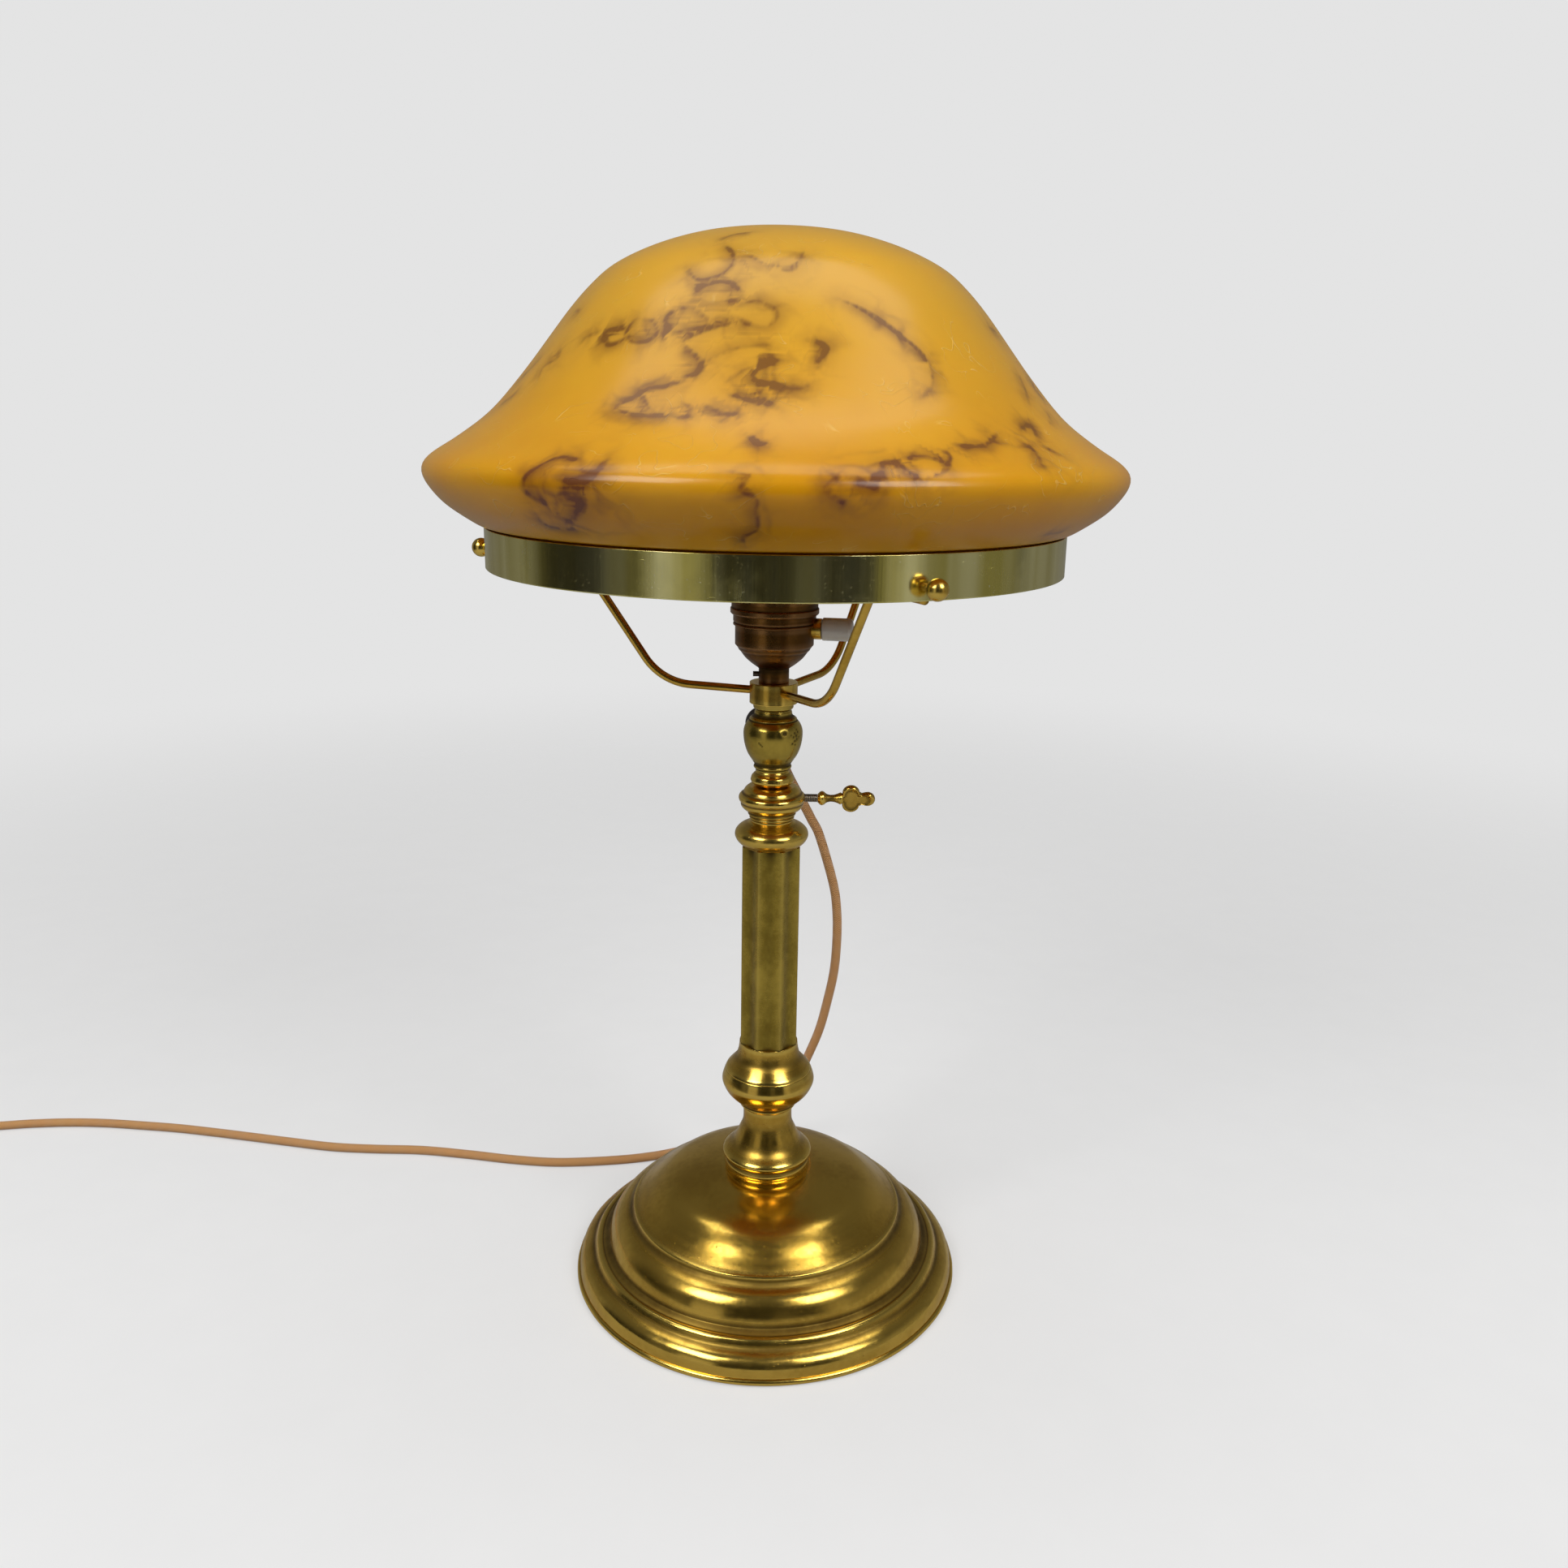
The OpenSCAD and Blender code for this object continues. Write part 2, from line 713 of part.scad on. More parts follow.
module holder_cap() {
    z = holder_z;
    r = holder_r;
    outline = concat([[7, z], [7, z + 6.4]],
        curve([[7.6, z + 7], [10.2, z + 8.8], [13.4, z + 11.6], [r - 2.6, z + 14.4]], 3),
        [[r - 1.6, z + 15.2], [r - 1.4, z + 16], [r, z + 17.6], [r, z + cap_h]]);
    inner = concat([[r - cap_wall, z + cap_h], [r - cap_wall, z + 18], [r - 4, z + 15.2]],
        [[12.6, z + 12.8], [9.4, z + 10], [nipple_r + fit, z + 8.2], [nipple_r + fit, z]]);
    color(bronze)
        difference() {
            rotate_extrude()
                polygon(concat(outline, inner));
            spoke(180, z + 3.6)
                rod(nipple_r, 12, 1.2 + fit);
            switch_hole(stub_r + fit);
        }
}

module holder_grub_screw() {
    color(iron)
        spoke(180, holder_z + 3.6)
            rod(nipple_r + fit, 9.6, 1.2);
}

module holder_core() {
    lead_way = 3;
    color(porcelain)
        difference() {
            translate([0, 0, core_z])
                cylinder(h = core_top - core_z, r = holder_r - cap_wall - apart);
            translate([0, 0, core_z - 1])
                cylinder(h = 4, r = lead_way);
            spoke(knob_turn, knob_z)
                rod(4, holder_r + 2, stub_r + apart);
        }
}

module centre_contact() {
    color(brass)
        translate([0, 0, core_top])
            cylinder(h = contact_top - core_top, r = 3.5);
}

module screw_shell() {
    color(brass)
        translate([0, 0, core_top])
            difference() {
                cylinder(h = sleeve_h - 6, r = shell_r + shell_wall);
                translate([0, 0, -1])
                    cylinder(h = sleeve_h, r = shell_r);
            }
}

module shell_liner() {
    color(porcelain)
        translate([0, 0, core_top])
            difference() {
                cylinder(h = sleeve_h - 5, r = holder_r - 0.4);
                translate([0, 0, -1])
                    cylinder(h = sleeve_h, r = shell_r + shell_wall + fit);
            }
}

module holder_sleeve() {
    color(bronze)
        difference() {
            translate([0, 0, sleeve_z])
                rotate_extrude()
                    polygon([[holder_r - 0.3, 0], [holder_r + 0.9, 0], [holder_r + 0.9, 0.8],
                        [holder_r + 0.4, 1.2], [holder_r + 0.9, 1.8], [holder_r + 0.9, sleeve_h],
                        [holder_r - 0.3, sleeve_h]]);
            switch_hole(stub_r + fit);
        }
}

module holder_ring() {
    color(bronze)
        translate([0, 0, sleeve_z + 5])
            turned([[holder_r + 1.6, 0], [holder_r + 2.2, 0.6], [holder_r + 2.2, 2.6],
                [holder_r + 1.7, 3], [holder_r + 1.7, 8]], holder_r + 0.9 + fit);
}

module switch_bush() {
    color(brass)
        spoke(knob_turn, knob_z)
            difference() {
                rod(holder_r - 7, knob_x - apart, stub_r - fit);
                rod(0, knob_x + 5, spindle_r + fit);
            }
}

module switch_spindle() {
    color(iron)
        spoke(knob_turn, knob_z)
            rod(holder_r - 12, knob_x + 6, spindle_r);
}

module switch_knob() {
    color(porcelain)
        spoke(knob_turn, knob_z)
            rotate([0, 90, 0])
                rotate_extrude()
                    polygon(concat([[spindle_r + 0.02, knob_x], [knob_r - 0.4, knob_x],
                        [knob_r, knob_x + 0.5]],
                        arc([knob_r - 2, knob_x + knob_len - 2], 2, 0, 90, 6),
                        [[0, knob_x + knob_len], [0, knob_x + 6], [spindle_r + 0.02, knob_x + 6]]));
}

// ---- Bulb ----

module bulb_contact() {
    color(bakelite)
        translate([0, 0, bulb_z])
            rotate_extrude()
                polygon([[0, 0], [3, 0], [4.6, 0.8], [8, 2.6], [8, 3.4], [0, 3.4]]);
}

module bulb_cap() {
    color([0.75, 0.75, 0.72])
        translate([0, 0, bulb_z + 3.4])
            rotate_extrude()
                polygon([[0, 0], [9, 0], [bulb_cap_r - 1, 2], [bulb_cap_r, 3.5], [bulb_cap_r, 22],
                    [bulb_cap_r - 0.5, 22], [bulb_cap_r - 0.5, 4], [0, 4]]);
}

bulb_outline = let (top = bulb_z + bulb_len, mid = bulb_z + bulb_len - bulb_r) concat(
    curve([[11.6, bulb_z + 14], [12, bulb_z + 24], [14.5, bulb_z + 34], [bulb_r - 9, mid - 24],
        [bulb_r - 2.5, mid - 11]], 4),
    arc([0, mid], bulb_r, -2, 86, 14),
    [[0, top]]);

module bulb_glass() {
    wall = 0.9;
    inner = inset(bulb_outline, -wall);
    color([1, 0.95, 0.85])
        rotate_extrude()
            polygon(concat([[0, bulb_outline[0][1]]], bulb_outline,
                [[0, last(bulb_outline)[1] - wall]],
                [for (i = [len(inner) - 2:-1:1]) inner[i]],
                [[0, inner[1][1]]]));
}

// ---- Shade ----

// Outline of the glass from the crown down to the end of its neck. Each pair is the share of
// the rim's radius and of the crown's rise, so the flare keeps its shape at every size.
crown = [[0, 1], [0.105, 0.998], [0.23, 0.973], [0.355, 0.916], [0.461, 0.838], [0.526, 0.754],
    [0.582, 0.659], [0.638, 0.548], [0.711, 0.403], [0.803, 0.242], [0.895, 0.135], [0.962, 0.071],
    [0.992, 0.03], [1, 0]];
under = [[1, 0.985], [0.935, 0.786], [0.674, 0.457], [0.348, 0.214], [0, 0]];
shoulder_r = ring_r + 1.4;
shoulder_z = ring_top + 0.8;
shade_outline = concat(
    curve([for (p = crown) [p[0] * shade_r, rim_z + p[1] * shade_rise]], 3),
    curve([for (p = under) [shoulder_r + p[0] * (shade_r - shoulder_r),
        shoulder_z + p[1] * (rim_z - shoulder_z)]], 3),
    [[neck_r + 1.2, shoulder_z - 0.2], [neck_r, shoulder_z - 1.4], [neck_r, lip_z + lip_t + apart]]);

module glass_shade() {
    inner = inset(shade_outline, glass_t);
    color([0.93, 0.62, 0.12])
        rotate_extrude()
            polygon(concat(shade_outline,
                [[neck_r - glass_t, last(shade_outline)[1]],
                    [neck_r - glass_t, shoulder_z + glass_t / 2]],
                [for (i = [len(inner) - 6:-1:2]) inner[i]],
                [[0, crown_z - glass_t]]));
}

// ---- Cord ----

module cord_relief() {
    tip = route[0];
    back = unit(route[0] - route[1]);
    length = 27;
    color(bakelite)
        difference() {
            hull() {
                translate(tip)
                    orient(back)
                        cylinder(h = 1, r = cord_r + 0.8, $fn = 32);
                translate(tip + back * (length - 1))
                    orient(back)
                        cylinder(h = 1, r = cord_r + 2.2, $fn = 32);
            }
            translate(tip - back)
                orient(back)
                    cylinder(h = length + 3, r = cord_r + fit);
            spoke(bush_turn, cord_z)
                rod(0, bush_face, bush_r + 2);
        }
}

// The route made smooth, and never lower than the cord lies on the table
module cord_lead() {
    color(textile)
        sweep([for (p = curve(route, 2)) [p[0], p[1], max(p[2], cord_r)]], cord_r, 8);
}

module cord_coil() {
    color(textile)
        translate([coil_at[0], coil_at[1], 0])
            rotate_extrude()
                translate([coil_mid - coil_wide * cord_d / 2, 0])
                    square([coil_wide * cord_d, coil_high * cord_d]);
}

// Places a child made along +X on the straight end of the cord, x mm past the coil
module on_tail(x) {
    translate([tail_x, coil_at[1] - x, plug_z])
        rotate([0, 0, -90])
            children();
}

module cord_tail() {
    color(textile)
        on_tail(0)
            rod(0, tail_len, cord_r);
}

module plug_relief() {
    color(bakelite)
        on_tail(tail_len)
            rotate([0, 90, 0])
                difference() {
                    cylinder(h = plug_relief_len, r1 = cord_r + 0.8, r2 = cord_r + 2.4);
                    translate([0, 0, -1])
                        cylinder(h = 1, r = cord_r);
                }
}

module plug_body() {
    color(bakelite)
        on_tail(tail_len + plug_relief_len)
            hull() {
                for (s = [-1, 1]) {
                    translate([0, s * (plug_w / 2 - 8), 0])
                        rotate([0, 90, 0])
                            cylinder(h = 1, r = plug_t / 2 - 1.5, $fn = 32);
                    translate([plug_len - 12, s * (plug_w - plug_t) / 2, 0])
                        rotate([0, 90, 0])
                            cylinder(h = 12, r = plug_t / 2, $fn = 32);
                }
            }
}

module plug_pins() {
    color([0.8, 0.8, 0.78])
        on_tail(tail_len + plug_relief_len + plug_len)
            for (s = [-1, 1])
                translate([0, s * pin_gap / 2, 0])
                    rod(0, pin_len, pin_r);
}

felt_pad();
base_weight();
base_shell();
base_washer();
base_nut();
tie_rod();
column_foot();
knop_lower();
knop_upper();
guide_tube();
fluted_tube();
column_flange();
clamp_collar();
clamp_screw();
clamp_key();
stem_tube();
stop_bead();
stem_ball();
spacer_ring();
stem_nipple();
cord_bush();
inner_leads();
arm_hub();
arm(arm_turns[0]);  // arm_front
arm(arm_turns[1]);  // arm_back
arm(arm_turns[2]);  // arm_left
gallery_ring();
shade_screw(arm_turns[0]);  // screw_front
shade_screw(arm_turns[1]);  // screw_back
shade_screw(arm_turns[2]);  // screw_left
screw_head(arm_turns[0]);  // head_front
screw_head(arm_turns[1]);  // head_back
screw_head(arm_turns[2]);  // head_left
holder_cap();
holder_grub_screw();
holder_core();
centre_contact();
screw_shell();
shell_liner();
holder_sleeve();
holder_ring();
switch_bush();
switch_spindle();
switch_knob();
bulb_contact();
bulb_cap();
bulb_glass();
glass_shade();
cord_relief();
cord_lead();
cord_coil();
cord_tail();
plug_relief();
plug_body();
plug_pins();
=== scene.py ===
# %% [markdown]
# # A brass table lamp with a marbled glass shade
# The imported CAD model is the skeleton: it fixes every size and every joint. This notebook dresses
# it. Most of the lamp was made on a lathe, so most pieces are made again by turning the outline
# that the CAD solid shows when it is cut in half. Doing it this way, and not with lists of
# numbers, keeps looks and CAD the same by construction.

# %% The frame
import json
import math

import bpy
import numpy as np
from mathutils import Matrix, Vector, noise


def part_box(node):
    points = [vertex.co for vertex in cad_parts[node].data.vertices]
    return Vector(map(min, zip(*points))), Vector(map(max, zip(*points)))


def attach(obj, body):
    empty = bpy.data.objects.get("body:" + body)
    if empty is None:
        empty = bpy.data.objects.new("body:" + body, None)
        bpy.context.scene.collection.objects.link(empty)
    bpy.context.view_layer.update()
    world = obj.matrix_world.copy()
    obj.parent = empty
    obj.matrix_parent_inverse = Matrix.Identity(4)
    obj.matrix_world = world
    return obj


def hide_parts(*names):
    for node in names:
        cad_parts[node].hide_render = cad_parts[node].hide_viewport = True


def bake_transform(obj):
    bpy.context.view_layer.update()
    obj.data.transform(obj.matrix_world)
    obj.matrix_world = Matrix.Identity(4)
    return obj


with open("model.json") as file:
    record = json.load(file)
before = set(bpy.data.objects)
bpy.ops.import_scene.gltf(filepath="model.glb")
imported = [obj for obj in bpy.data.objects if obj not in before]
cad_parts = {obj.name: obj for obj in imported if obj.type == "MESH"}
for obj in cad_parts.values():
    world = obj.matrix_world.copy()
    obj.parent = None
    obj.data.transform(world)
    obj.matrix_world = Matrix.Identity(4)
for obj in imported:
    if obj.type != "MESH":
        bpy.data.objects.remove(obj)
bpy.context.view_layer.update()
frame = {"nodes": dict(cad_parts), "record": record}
nodes = frame["nodes"]
MM = 0.001

# %% [markdown]
# ## Camera
# The lamp is seen from a little above and rather close, so the lens is a wide one. A camera that
# far down and near gives the shade's strong flare; a longer lens from further off would flatten
# it. The slight roll gives the lamp the small lean that it has in the frame.

# %% Camera
CAMERA_PLACE = (0.0055, -0.6, 0.4225)
LOOKS_DOWN, ROLL = 15.48, 0.98  # degrees
SENSOR, LENS = 36, 30.41  # mm

camera_data = bpy.data.cameras.new("camera")
camera_data.sensor_width = SENSOR
camera_data.lens = LENS
camera_data.clip_start = 0.01
camera = bpy.data.objects.new("camera", camera_data)
bpy.context.scene.collection.objects.link(camera)
camera.matrix_world = (Matrix.Translation(CAMERA_PLACE)
                       @ Matrix.Rotation(math.radians(90 - LOOKS_DOWN), 4, "X")
                       @ Matrix.Rotation(math.radians(ROLL), 4, "Z"))
bpy.context.scene.camera = camera
bpy.context.scene.view_settings.view_transform = "Standard"
print("camera at", tuple(round(x, 4) for x in camera.location))

# %% [markdown]
# ## A small language for shaders
# Materials are written as sums. `Value` turns + - * / ** into Math nodes, and every other node
# goes through one method, `Shader.node`. The other way, a long list of nodes and links, says the
# same but hides what is computed.

# %% Expressions
class Value:
    """A number or colour on its way through a shader."""

    def __init__(self, shader, socket):
        self.shader, self.socket = shader, socket

    def __add__(self, other): return self.shader.math("ADD", self, other)
    def __sub__(self, other): return self.shader.math("SUBTRACT", self, other)
    def __rsub__(self, other): return self.shader.math("SUBTRACT", other, self)
    def __mul__(self, other): return self.shader.math("MULTIPLY", self, other)
    def __truediv__(self, other): return self.shader.math("DIVIDE", self, other)
    def __pow__(self, other): return self.shader.math("POWER", self, other)
    def __neg__(self): return self.shader.math("MULTIPLY", self, -1.0)
    __radd__ = __add__
    __rmul__ = __mul__


print("expressions ready")

# %% [markdown]
# `Shader` holds a material's tree. Its `node` sets a node's settings first and then its sockets,
# because a setting can change which sockets there are. The short methods below it name the few
# nodes that nearly every finish needs.

# %% The shader class
class Shader:
    """A material, or the world, under construction."""

    def __init__(self, name, owner=None):
        self.owner = owner or bpy.data.materials.new(name)
        self.owner.use_nodes = True
        self.tree = self.owner.node_tree
        self.tree.nodes.clear()

    def node(self, kind, inputs=None, out=0, **settings):
        made = self.tree.nodes.new(kind)
        for key, setting in settings.items():
            setattr(made, key, setting)
        for key, given in (inputs or {}).items():
            if isinstance(given, Value):
                self.tree.links.new(given.socket, made.inputs[key])
            else:
                made.inputs[key].default_value = given
        return Value(self, made.outputs[out]) if len(made.outputs) else made

    def math(self, operation, *given):
        return self.node("ShaderNodeMath", dict(enumerate(given)), operation=operation)

    def least(self, a, b): return self.math("MINIMUM", a, b)
    def most(self, a, b): return self.math("MAXIMUM", a, b)

    def band(self, value, low, high, to_low=0.0, to_high=1.0):
        """0 below low, 1 above high and smooth between (or to_low and to_high)."""
        return self.node("ShaderNodeMapRange", {0: value, 1: low, 2: high, 3: to_low, 4: to_high},
                         interpolation_type="SMOOTHSTEP")

    def mix(self, factor, a, b):
        a, b = (x if isinstance(x, Value) else (*x, 1.0) for x in (a, b))
        return self.node("ShaderNodeMix", {0: factor, 6: a, 7: b}, out=2, data_type="RGBA")

    def point(self, scale=(1, 1, 1)):
        place = self.node("ShaderNodeTexCoord", out="Object")
        return self.node("ShaderNodeMapping", {"Vector": place, "Scale": scale})

    def surface(self, scale=(1, 1, 1)):
        place = self.node("ShaderNodeTexCoord", out="UV")
        return self.node("ShaderNodeMapping", {"Vector": place, "Scale": scale})

    def bent(self, point, by, scale=55.0):
        """The same point pushed about by noise, so that what is drawn there wavers."""
        push = self.node("ShaderNodeTexNoise", {"Vector": point, "Scale": scale}, out="Color")
        push = self.node("ShaderNodeVectorMath", {0: push, 1: (0.5, 0.5, 0.5)},
                         operation="SUBTRACT")
        push = self.node("ShaderNodeVectorMath", {0: push, "Scale": by * 4}, operation="SCALE")
        return self.node("ShaderNodeVectorMath", {0: point, 1: push}, operation="ADD")

    def mark(self, name):
        return self.node("ShaderNodeAttribute", out="Fac", attribute_name=name)

    def noise(self, point, scale, detail=4.0, rough=0.55, warp=0.0):
        return self.node("ShaderNodeTexNoise", {"Vector": point, "Scale": scale,
                         "Detail": detail, "Roughness": rough, "Distortion": warp}, out="Fac")

    def bump(self, height, distance, strength=1.0, normal=None):
        given = {"Height": height, "Distance": distance, "Strength": strength}
        if normal is not None:
            given["Normal"] = normal
        return self.node("ShaderNodeBump", given)

    def finish(self, **sockets):
        """Closes the material with one Principled shader; a_b stands for the socket A B."""
        given = {k.replace("_", " ").title().replace("Ior", "IOR"): v for k, v in sockets.items()}
        given = {k: ((*v, 1.0) if isinstance(v, tuple) and len(v) == 3 and "Color" in k
                     or k == "Sheen Tint" else v) for k, v in given.items()}
        made = self.node("ShaderNodeBsdfPrincipled", given)
        self.node("ShaderNodeOutputMaterial", {"Surface": made})
        return self.owner


print("shader language ready")

# %% [markdown]
# ## Brass, in several ages
# All the brass is one recipe: a metal whose colour drifts between clean and tarnished in soft
# clouds, gathers brown dirt in its grooves and is rubbed pale on its ridges. The marks
# `dirt_and_shade` and `wear` come from the outline's own hollows and crests; on the fluted tube
# and the ball the first also carries painted shade. Painting them by noise alone would put dirt
# where no dirt collects.

# %% Brass
# The colour of dirt, which also serves as the colour of painted shade.
GRIME_AND_SHADE = (0.055, 0.035, 0.012)


def brass(name, clean, aged, age=0.5, grime_and_shade=0.8, shine=0.17, lines=1.0, dents=1.0):
    s = Shader(name)
    p = s.point()
    cloud = s.noise(p, 26.0, 5.0, 0.6)
    speck = s.noise(p, 420.0, 3.0, 0.6)
    turned = s.noise(s.point((6, 6, 1300)), 1.0, 3.0, 0.7)
    dirt_and_shade, wear = s.mark("dirt_and_shade"), s.mark("wear")
    tarnish = s.band(cloud + (speck - 0.5) * 0.25, 0.38, 0.66) * age
    # This darkening follows the hollows mark: brown dirt in grooves, and painted shade where a
    # piece's mark holds it, as at the ends of the flutes and in the ball's pits.
    soil_and_shade = s.least(dirt_and_shade * grime_and_shade * (0.6 + cloud), 1.0)
    spots = s.band(s.noise(p, 900.0, 2.0, 0.5), 0.7, 0.76) * s.band(cloud, 0.45, 0.6)
    colour = s.mix(tarnish, clean, aged)
    rubbed = tuple(min(1.0, c * 1.35 + 0.05) for c in clean)
    colour = s.mix(s.least(wear, 1.0) * 0.45, colour, rubbed)
    colour = s.mix(s.most(soil_and_shade * 0.85, spots * 0.5), colour, GRIME_AND_SHADE)
    rough = shine + tarnish * 0.12 + soil_and_shade * 0.3 + (turned - 0.5) * 0.08 + (speck - 0.5) * 0.05
    normal = s.bump(turned, 0.00002 * lines, 0.35)
    normal = s.bump(s.noise(p, 75.0, 3.0, 0.5), 0.00035 * dents, 0.3, normal)
    normal = s.bump(-spots, 0.0001, 0.5, normal)
    return s.finish(base_color=colour, metallic=1.0, roughness=rough, normal=normal)


MATERIALS = {
    "polished_brass": brass("polished_brass", (0.80, 0.51, 0.09), (0.46, 0.26, 0.03), 0.6),
    "aged_brass": brass("aged_brass", (0.52, 0.37, 0.06), (0.24, 0.16, 0.02), 0.75, 1.0, 0.2),
    "bronze": brass("bronze", (0.24, 0.11, 0.025), (0.10, 0.045, 0.01), 0.8, 0.7, 0.26),
    "pin_metal": brass("pin_metal", (0.75, 0.72, 0.62), (0.5, 0.46, 0.36), 0.4, 0.3, 0.2),
    "cap_metal": brass("cap_metal", (0.80, 0.79, 0.77), (0.55, 0.54, 0.52), 0.4, 0.4, 0.25),
    "steel": brass("steel", (0.33, 0.30, 0.26), (0.14, 0.11, 0.08), 0.7, 0.8, 0.3),
}
print("brasses:", ", ".join(MATERIALS))

# %% [markdown]
# The ring under the shade is newer than the rest: brighter, greener, rolled from sheet. Its colour
# runs up and down in soft bands that follow the angle round the ring: partly tarnish where hands
# and polish have been, and partly painted reflections of the room, as a polished band shows
# them. Specks and short scratches lie on top.

# %% The ring's brass
def ring_brass():
    s = Shader("bright_brass")
    tarnish_and_reflection_bands = s.noise(s.surface((34, 1.2, 1)), 1.0, 3.0, 0.6)
    brushed = s.noise(s.surface((900, 8, 1)), 1.0, 3.0, 0.65)
    specks = s.band(s.noise(s.point(), 1100.0, 2.0, 0.5), 0.69, 0.73)
    patch = s.band(s.noise(s.point(), 34.0, 4.0, 0.6), 0.48, 0.62)
    scratch = s.band(s.noise(s.surface((60, 2200, 1)), 1.0, 2.0, 0.5), 0.72, 0.75) * patch
    dirt_and_shade, wear = s.mark("dirt_and_shade"), s.mark("wear")
    # Lighter and darker bands round the ring: tarnish, and painted reflections of the room.
    tarnish_and_reflection_tone = s.band(tarnish_and_reflection_bands, 0.36, 0.66)
    colour = s.mix(tarnish_and_reflection_tone, (0.60, 0.52, 0.13), (0.90, 0.84, 0.40))
    colour = s.mix(specks * patch, colour, (0.92, 0.88, 0.66))
    colour = s.mix(s.least(dirt_and_shade, 1.0) * 0.7, colour, (0.10, 0.07, 0.02))
    rough = 0.2 + (brushed - 0.5) * 0.16 + patch * 0.08 - tarnish_and_reflection_tone * 0.04
    normal = s.bump(brushed, 0.00002, 0.5)
    normal = s.bump(scratch + specks * 0.4, 0.00008, 0.5, normal)
    return s.finish(base_color=colour, metallic=1.0, roughness=rough, normal=normal)


MATERIALS["bright_brass"] = ring_brass()
print("ring brass ready")

# %% [markdown]
# ## Marbled glass
# The glass is cased: an amber layer with brown threads drawn through it and a satin skin. Its
# threads are drawn as lines over the form (further down) and stored as marks: `thread`, the way
# to the nearest one, `vein`, how far that is, `ink`, how strong it is, `side`, where it fades
# softly, and `haze`, for brown patches. The shader frays the lines with noise so that they look
# pulled through hot glass. A ready-made marble texture would put them anywhere.

# %% Marbled glass
AMBER_CROWN, AMBER_RIM = (0.70, 0.37, 0.03), (0.68, 0.29, 0.0)
AMBER_CLOUD, AMBER_UNDER_PAINTED_SHADE = (0.80, 0.40, 0.012), (0.62, 0.24, 0.0)
CREASE = (0.95, 0.62, 0.16)
BROWN_RIM, BROWN_CROWN = (0.11, 0.022, 0.018), (0.17, 0.06, 0.008)


def marbled_glass():
    s = Shader("amber_glass")
    p = s.point()
    cloud = s.noise(p, 15.0, 3.0, 0.5)
    fine = s.noise(p, 60.0, 4.0, 0.6)
    height = s.node("ShaderNodeSeparateXYZ", {"Vector": p}, out="Z")
    frayed = s.noise(p, 110.0, 4.0, 0.65)
    to_thread = s.node("ShaderNodeAttribute", out="Vector", attribute_name="thread")
    true_far = s.node("ShaderNodeVectorMath", {0: to_thread}, out="Value", operation="LENGTH")
    far = s.most(true_far, s.mark("vein") - 0.0013)
    far = s.most(far + (fine - 0.5) * 0.0036 + (frayed - 0.5) * 0.0016, 0.0)
    ink, haze, side = s.mark("ink"), s.mark("haze"), s.mark("side")
    broken = s.band(s.noise(p, 75.0, 3.0, 0.6), 0.3, 0.56, 0.25, 1.0)
    core = s.band(far, 0.0, 0.0017, 1.0, 0.0) * broken
    smoke = s.band(far, 0.0, 0.0085, 1.0, 0.0) ** 1.7 * (side * 0.7 + 0.3)
    veil = s.band(far, 0.0, 0.013, 1.0, 0.0)
    flakes = s.node("ShaderNodeTexVoronoi", {"Vector": s.bent(p, 0.005), "Scale": 64.0,
                    "Randomness": 1.0}, out="Distance", feature="DISTANCE_TO_EDGE")
    web = s.band(flakes, 0.0, 0.3, 1.0, 0.0) ** 2.5 * s.most(haze, veil * ink * 0.45) * broken
    low = s.band(height, 0.385, 0.475, 1.0, 0.0)
    colour = s.mix(low, AMBER_CROWN, AMBER_RIM)
    colour = s.mix(s.band(cloud, 0.35, 0.7) * 0.5, colour, AMBER_CLOUD)
    # Painted shade: the underside of the rim is turned a darker, deeper amber.
    colour = s.mix(s.band(height, 0.374, 0.404, 1.0, 0.0) * 0.5, colour, AMBER_UNDER_PAINTED_SHADE)
    crinkle = s.noise(s.bent(p, 0.004), 42.0, 2.0, 0.4, 1.2)
    crease = s.band(s.math("ABSOLUTE", crinkle - 0.5), 0.0, 0.006, 1.0, 0.0)
    crease = crease * s.band(s.noise(p, 30.0, 2.0, 0.5), 0.48, 0.56)
    colour = s.mix(crease * 0.45, colour, CREASE)
    brown = s.least(core * ink * 0.5 + smoke * ink * 0.6 + veil * ink * 0.1 + web * 0.85
                    + haze * 0.22, 0.9)
    ink_colour = s.mix(s.band(height, 0.39, 0.425), BROWN_RIM, BROWN_CROWN)
    colour = s.mix(brown, colour, ink_colour)
    rough = 0.36 + (fine - 0.5) * 0.06 - crease * 0.1
    normal = s.bump(fine, 0.0002, 0.25)
    normal = s.bump(crease, 0.0003, 0.6, normal)
    return s.finish(base_color=colour, roughness=rough, normal=normal, subsurface_weight=0.12,
                    subsurface_radius=(0.012, 0.005, 0.001), subsurface_scale=1.0,
                    coat_weight=0.5, coat_roughness=0.2, specular_ior_level=0.12)


MATERIALS["amber_glass"] = marbled_glass()
print("marbled glass ready")

# %% [markdown]
# ## The plainer materials
# Porcelain, moulded bakelite, felt, cast iron, wire and frosted bulb glass. Each still gets a
# colour that drifts and a roughness that answers to it, because no real surface is one colour.

# %% Plain finishes
def plain(name, light, dark, rough, grain=300.0, depth=0.0001, metallic=0.0, **more):
    s = Shader(name)
    p = s.point()
    fine = s.noise(p, grain, 4.0, 0.6)
    cloud = s.noise(p, grain * 0.12, 3.0, 0.5)
    colour = s.mix(s.band(cloud * 0.6 + fine * 0.4, 0.35, 0.65), dark, light)
    colour = s.mix(s.least(s.mark("dirt_and_shade"), 1.0) * 0.5, colour, tuple(c * 0.3 for c in dark))
    return s.finish(base_color=colour, metallic=metallic, roughness=rough + (fine - 0.5) * 0.12,
                    normal=s.bump(fine, depth, 0.4), **more)


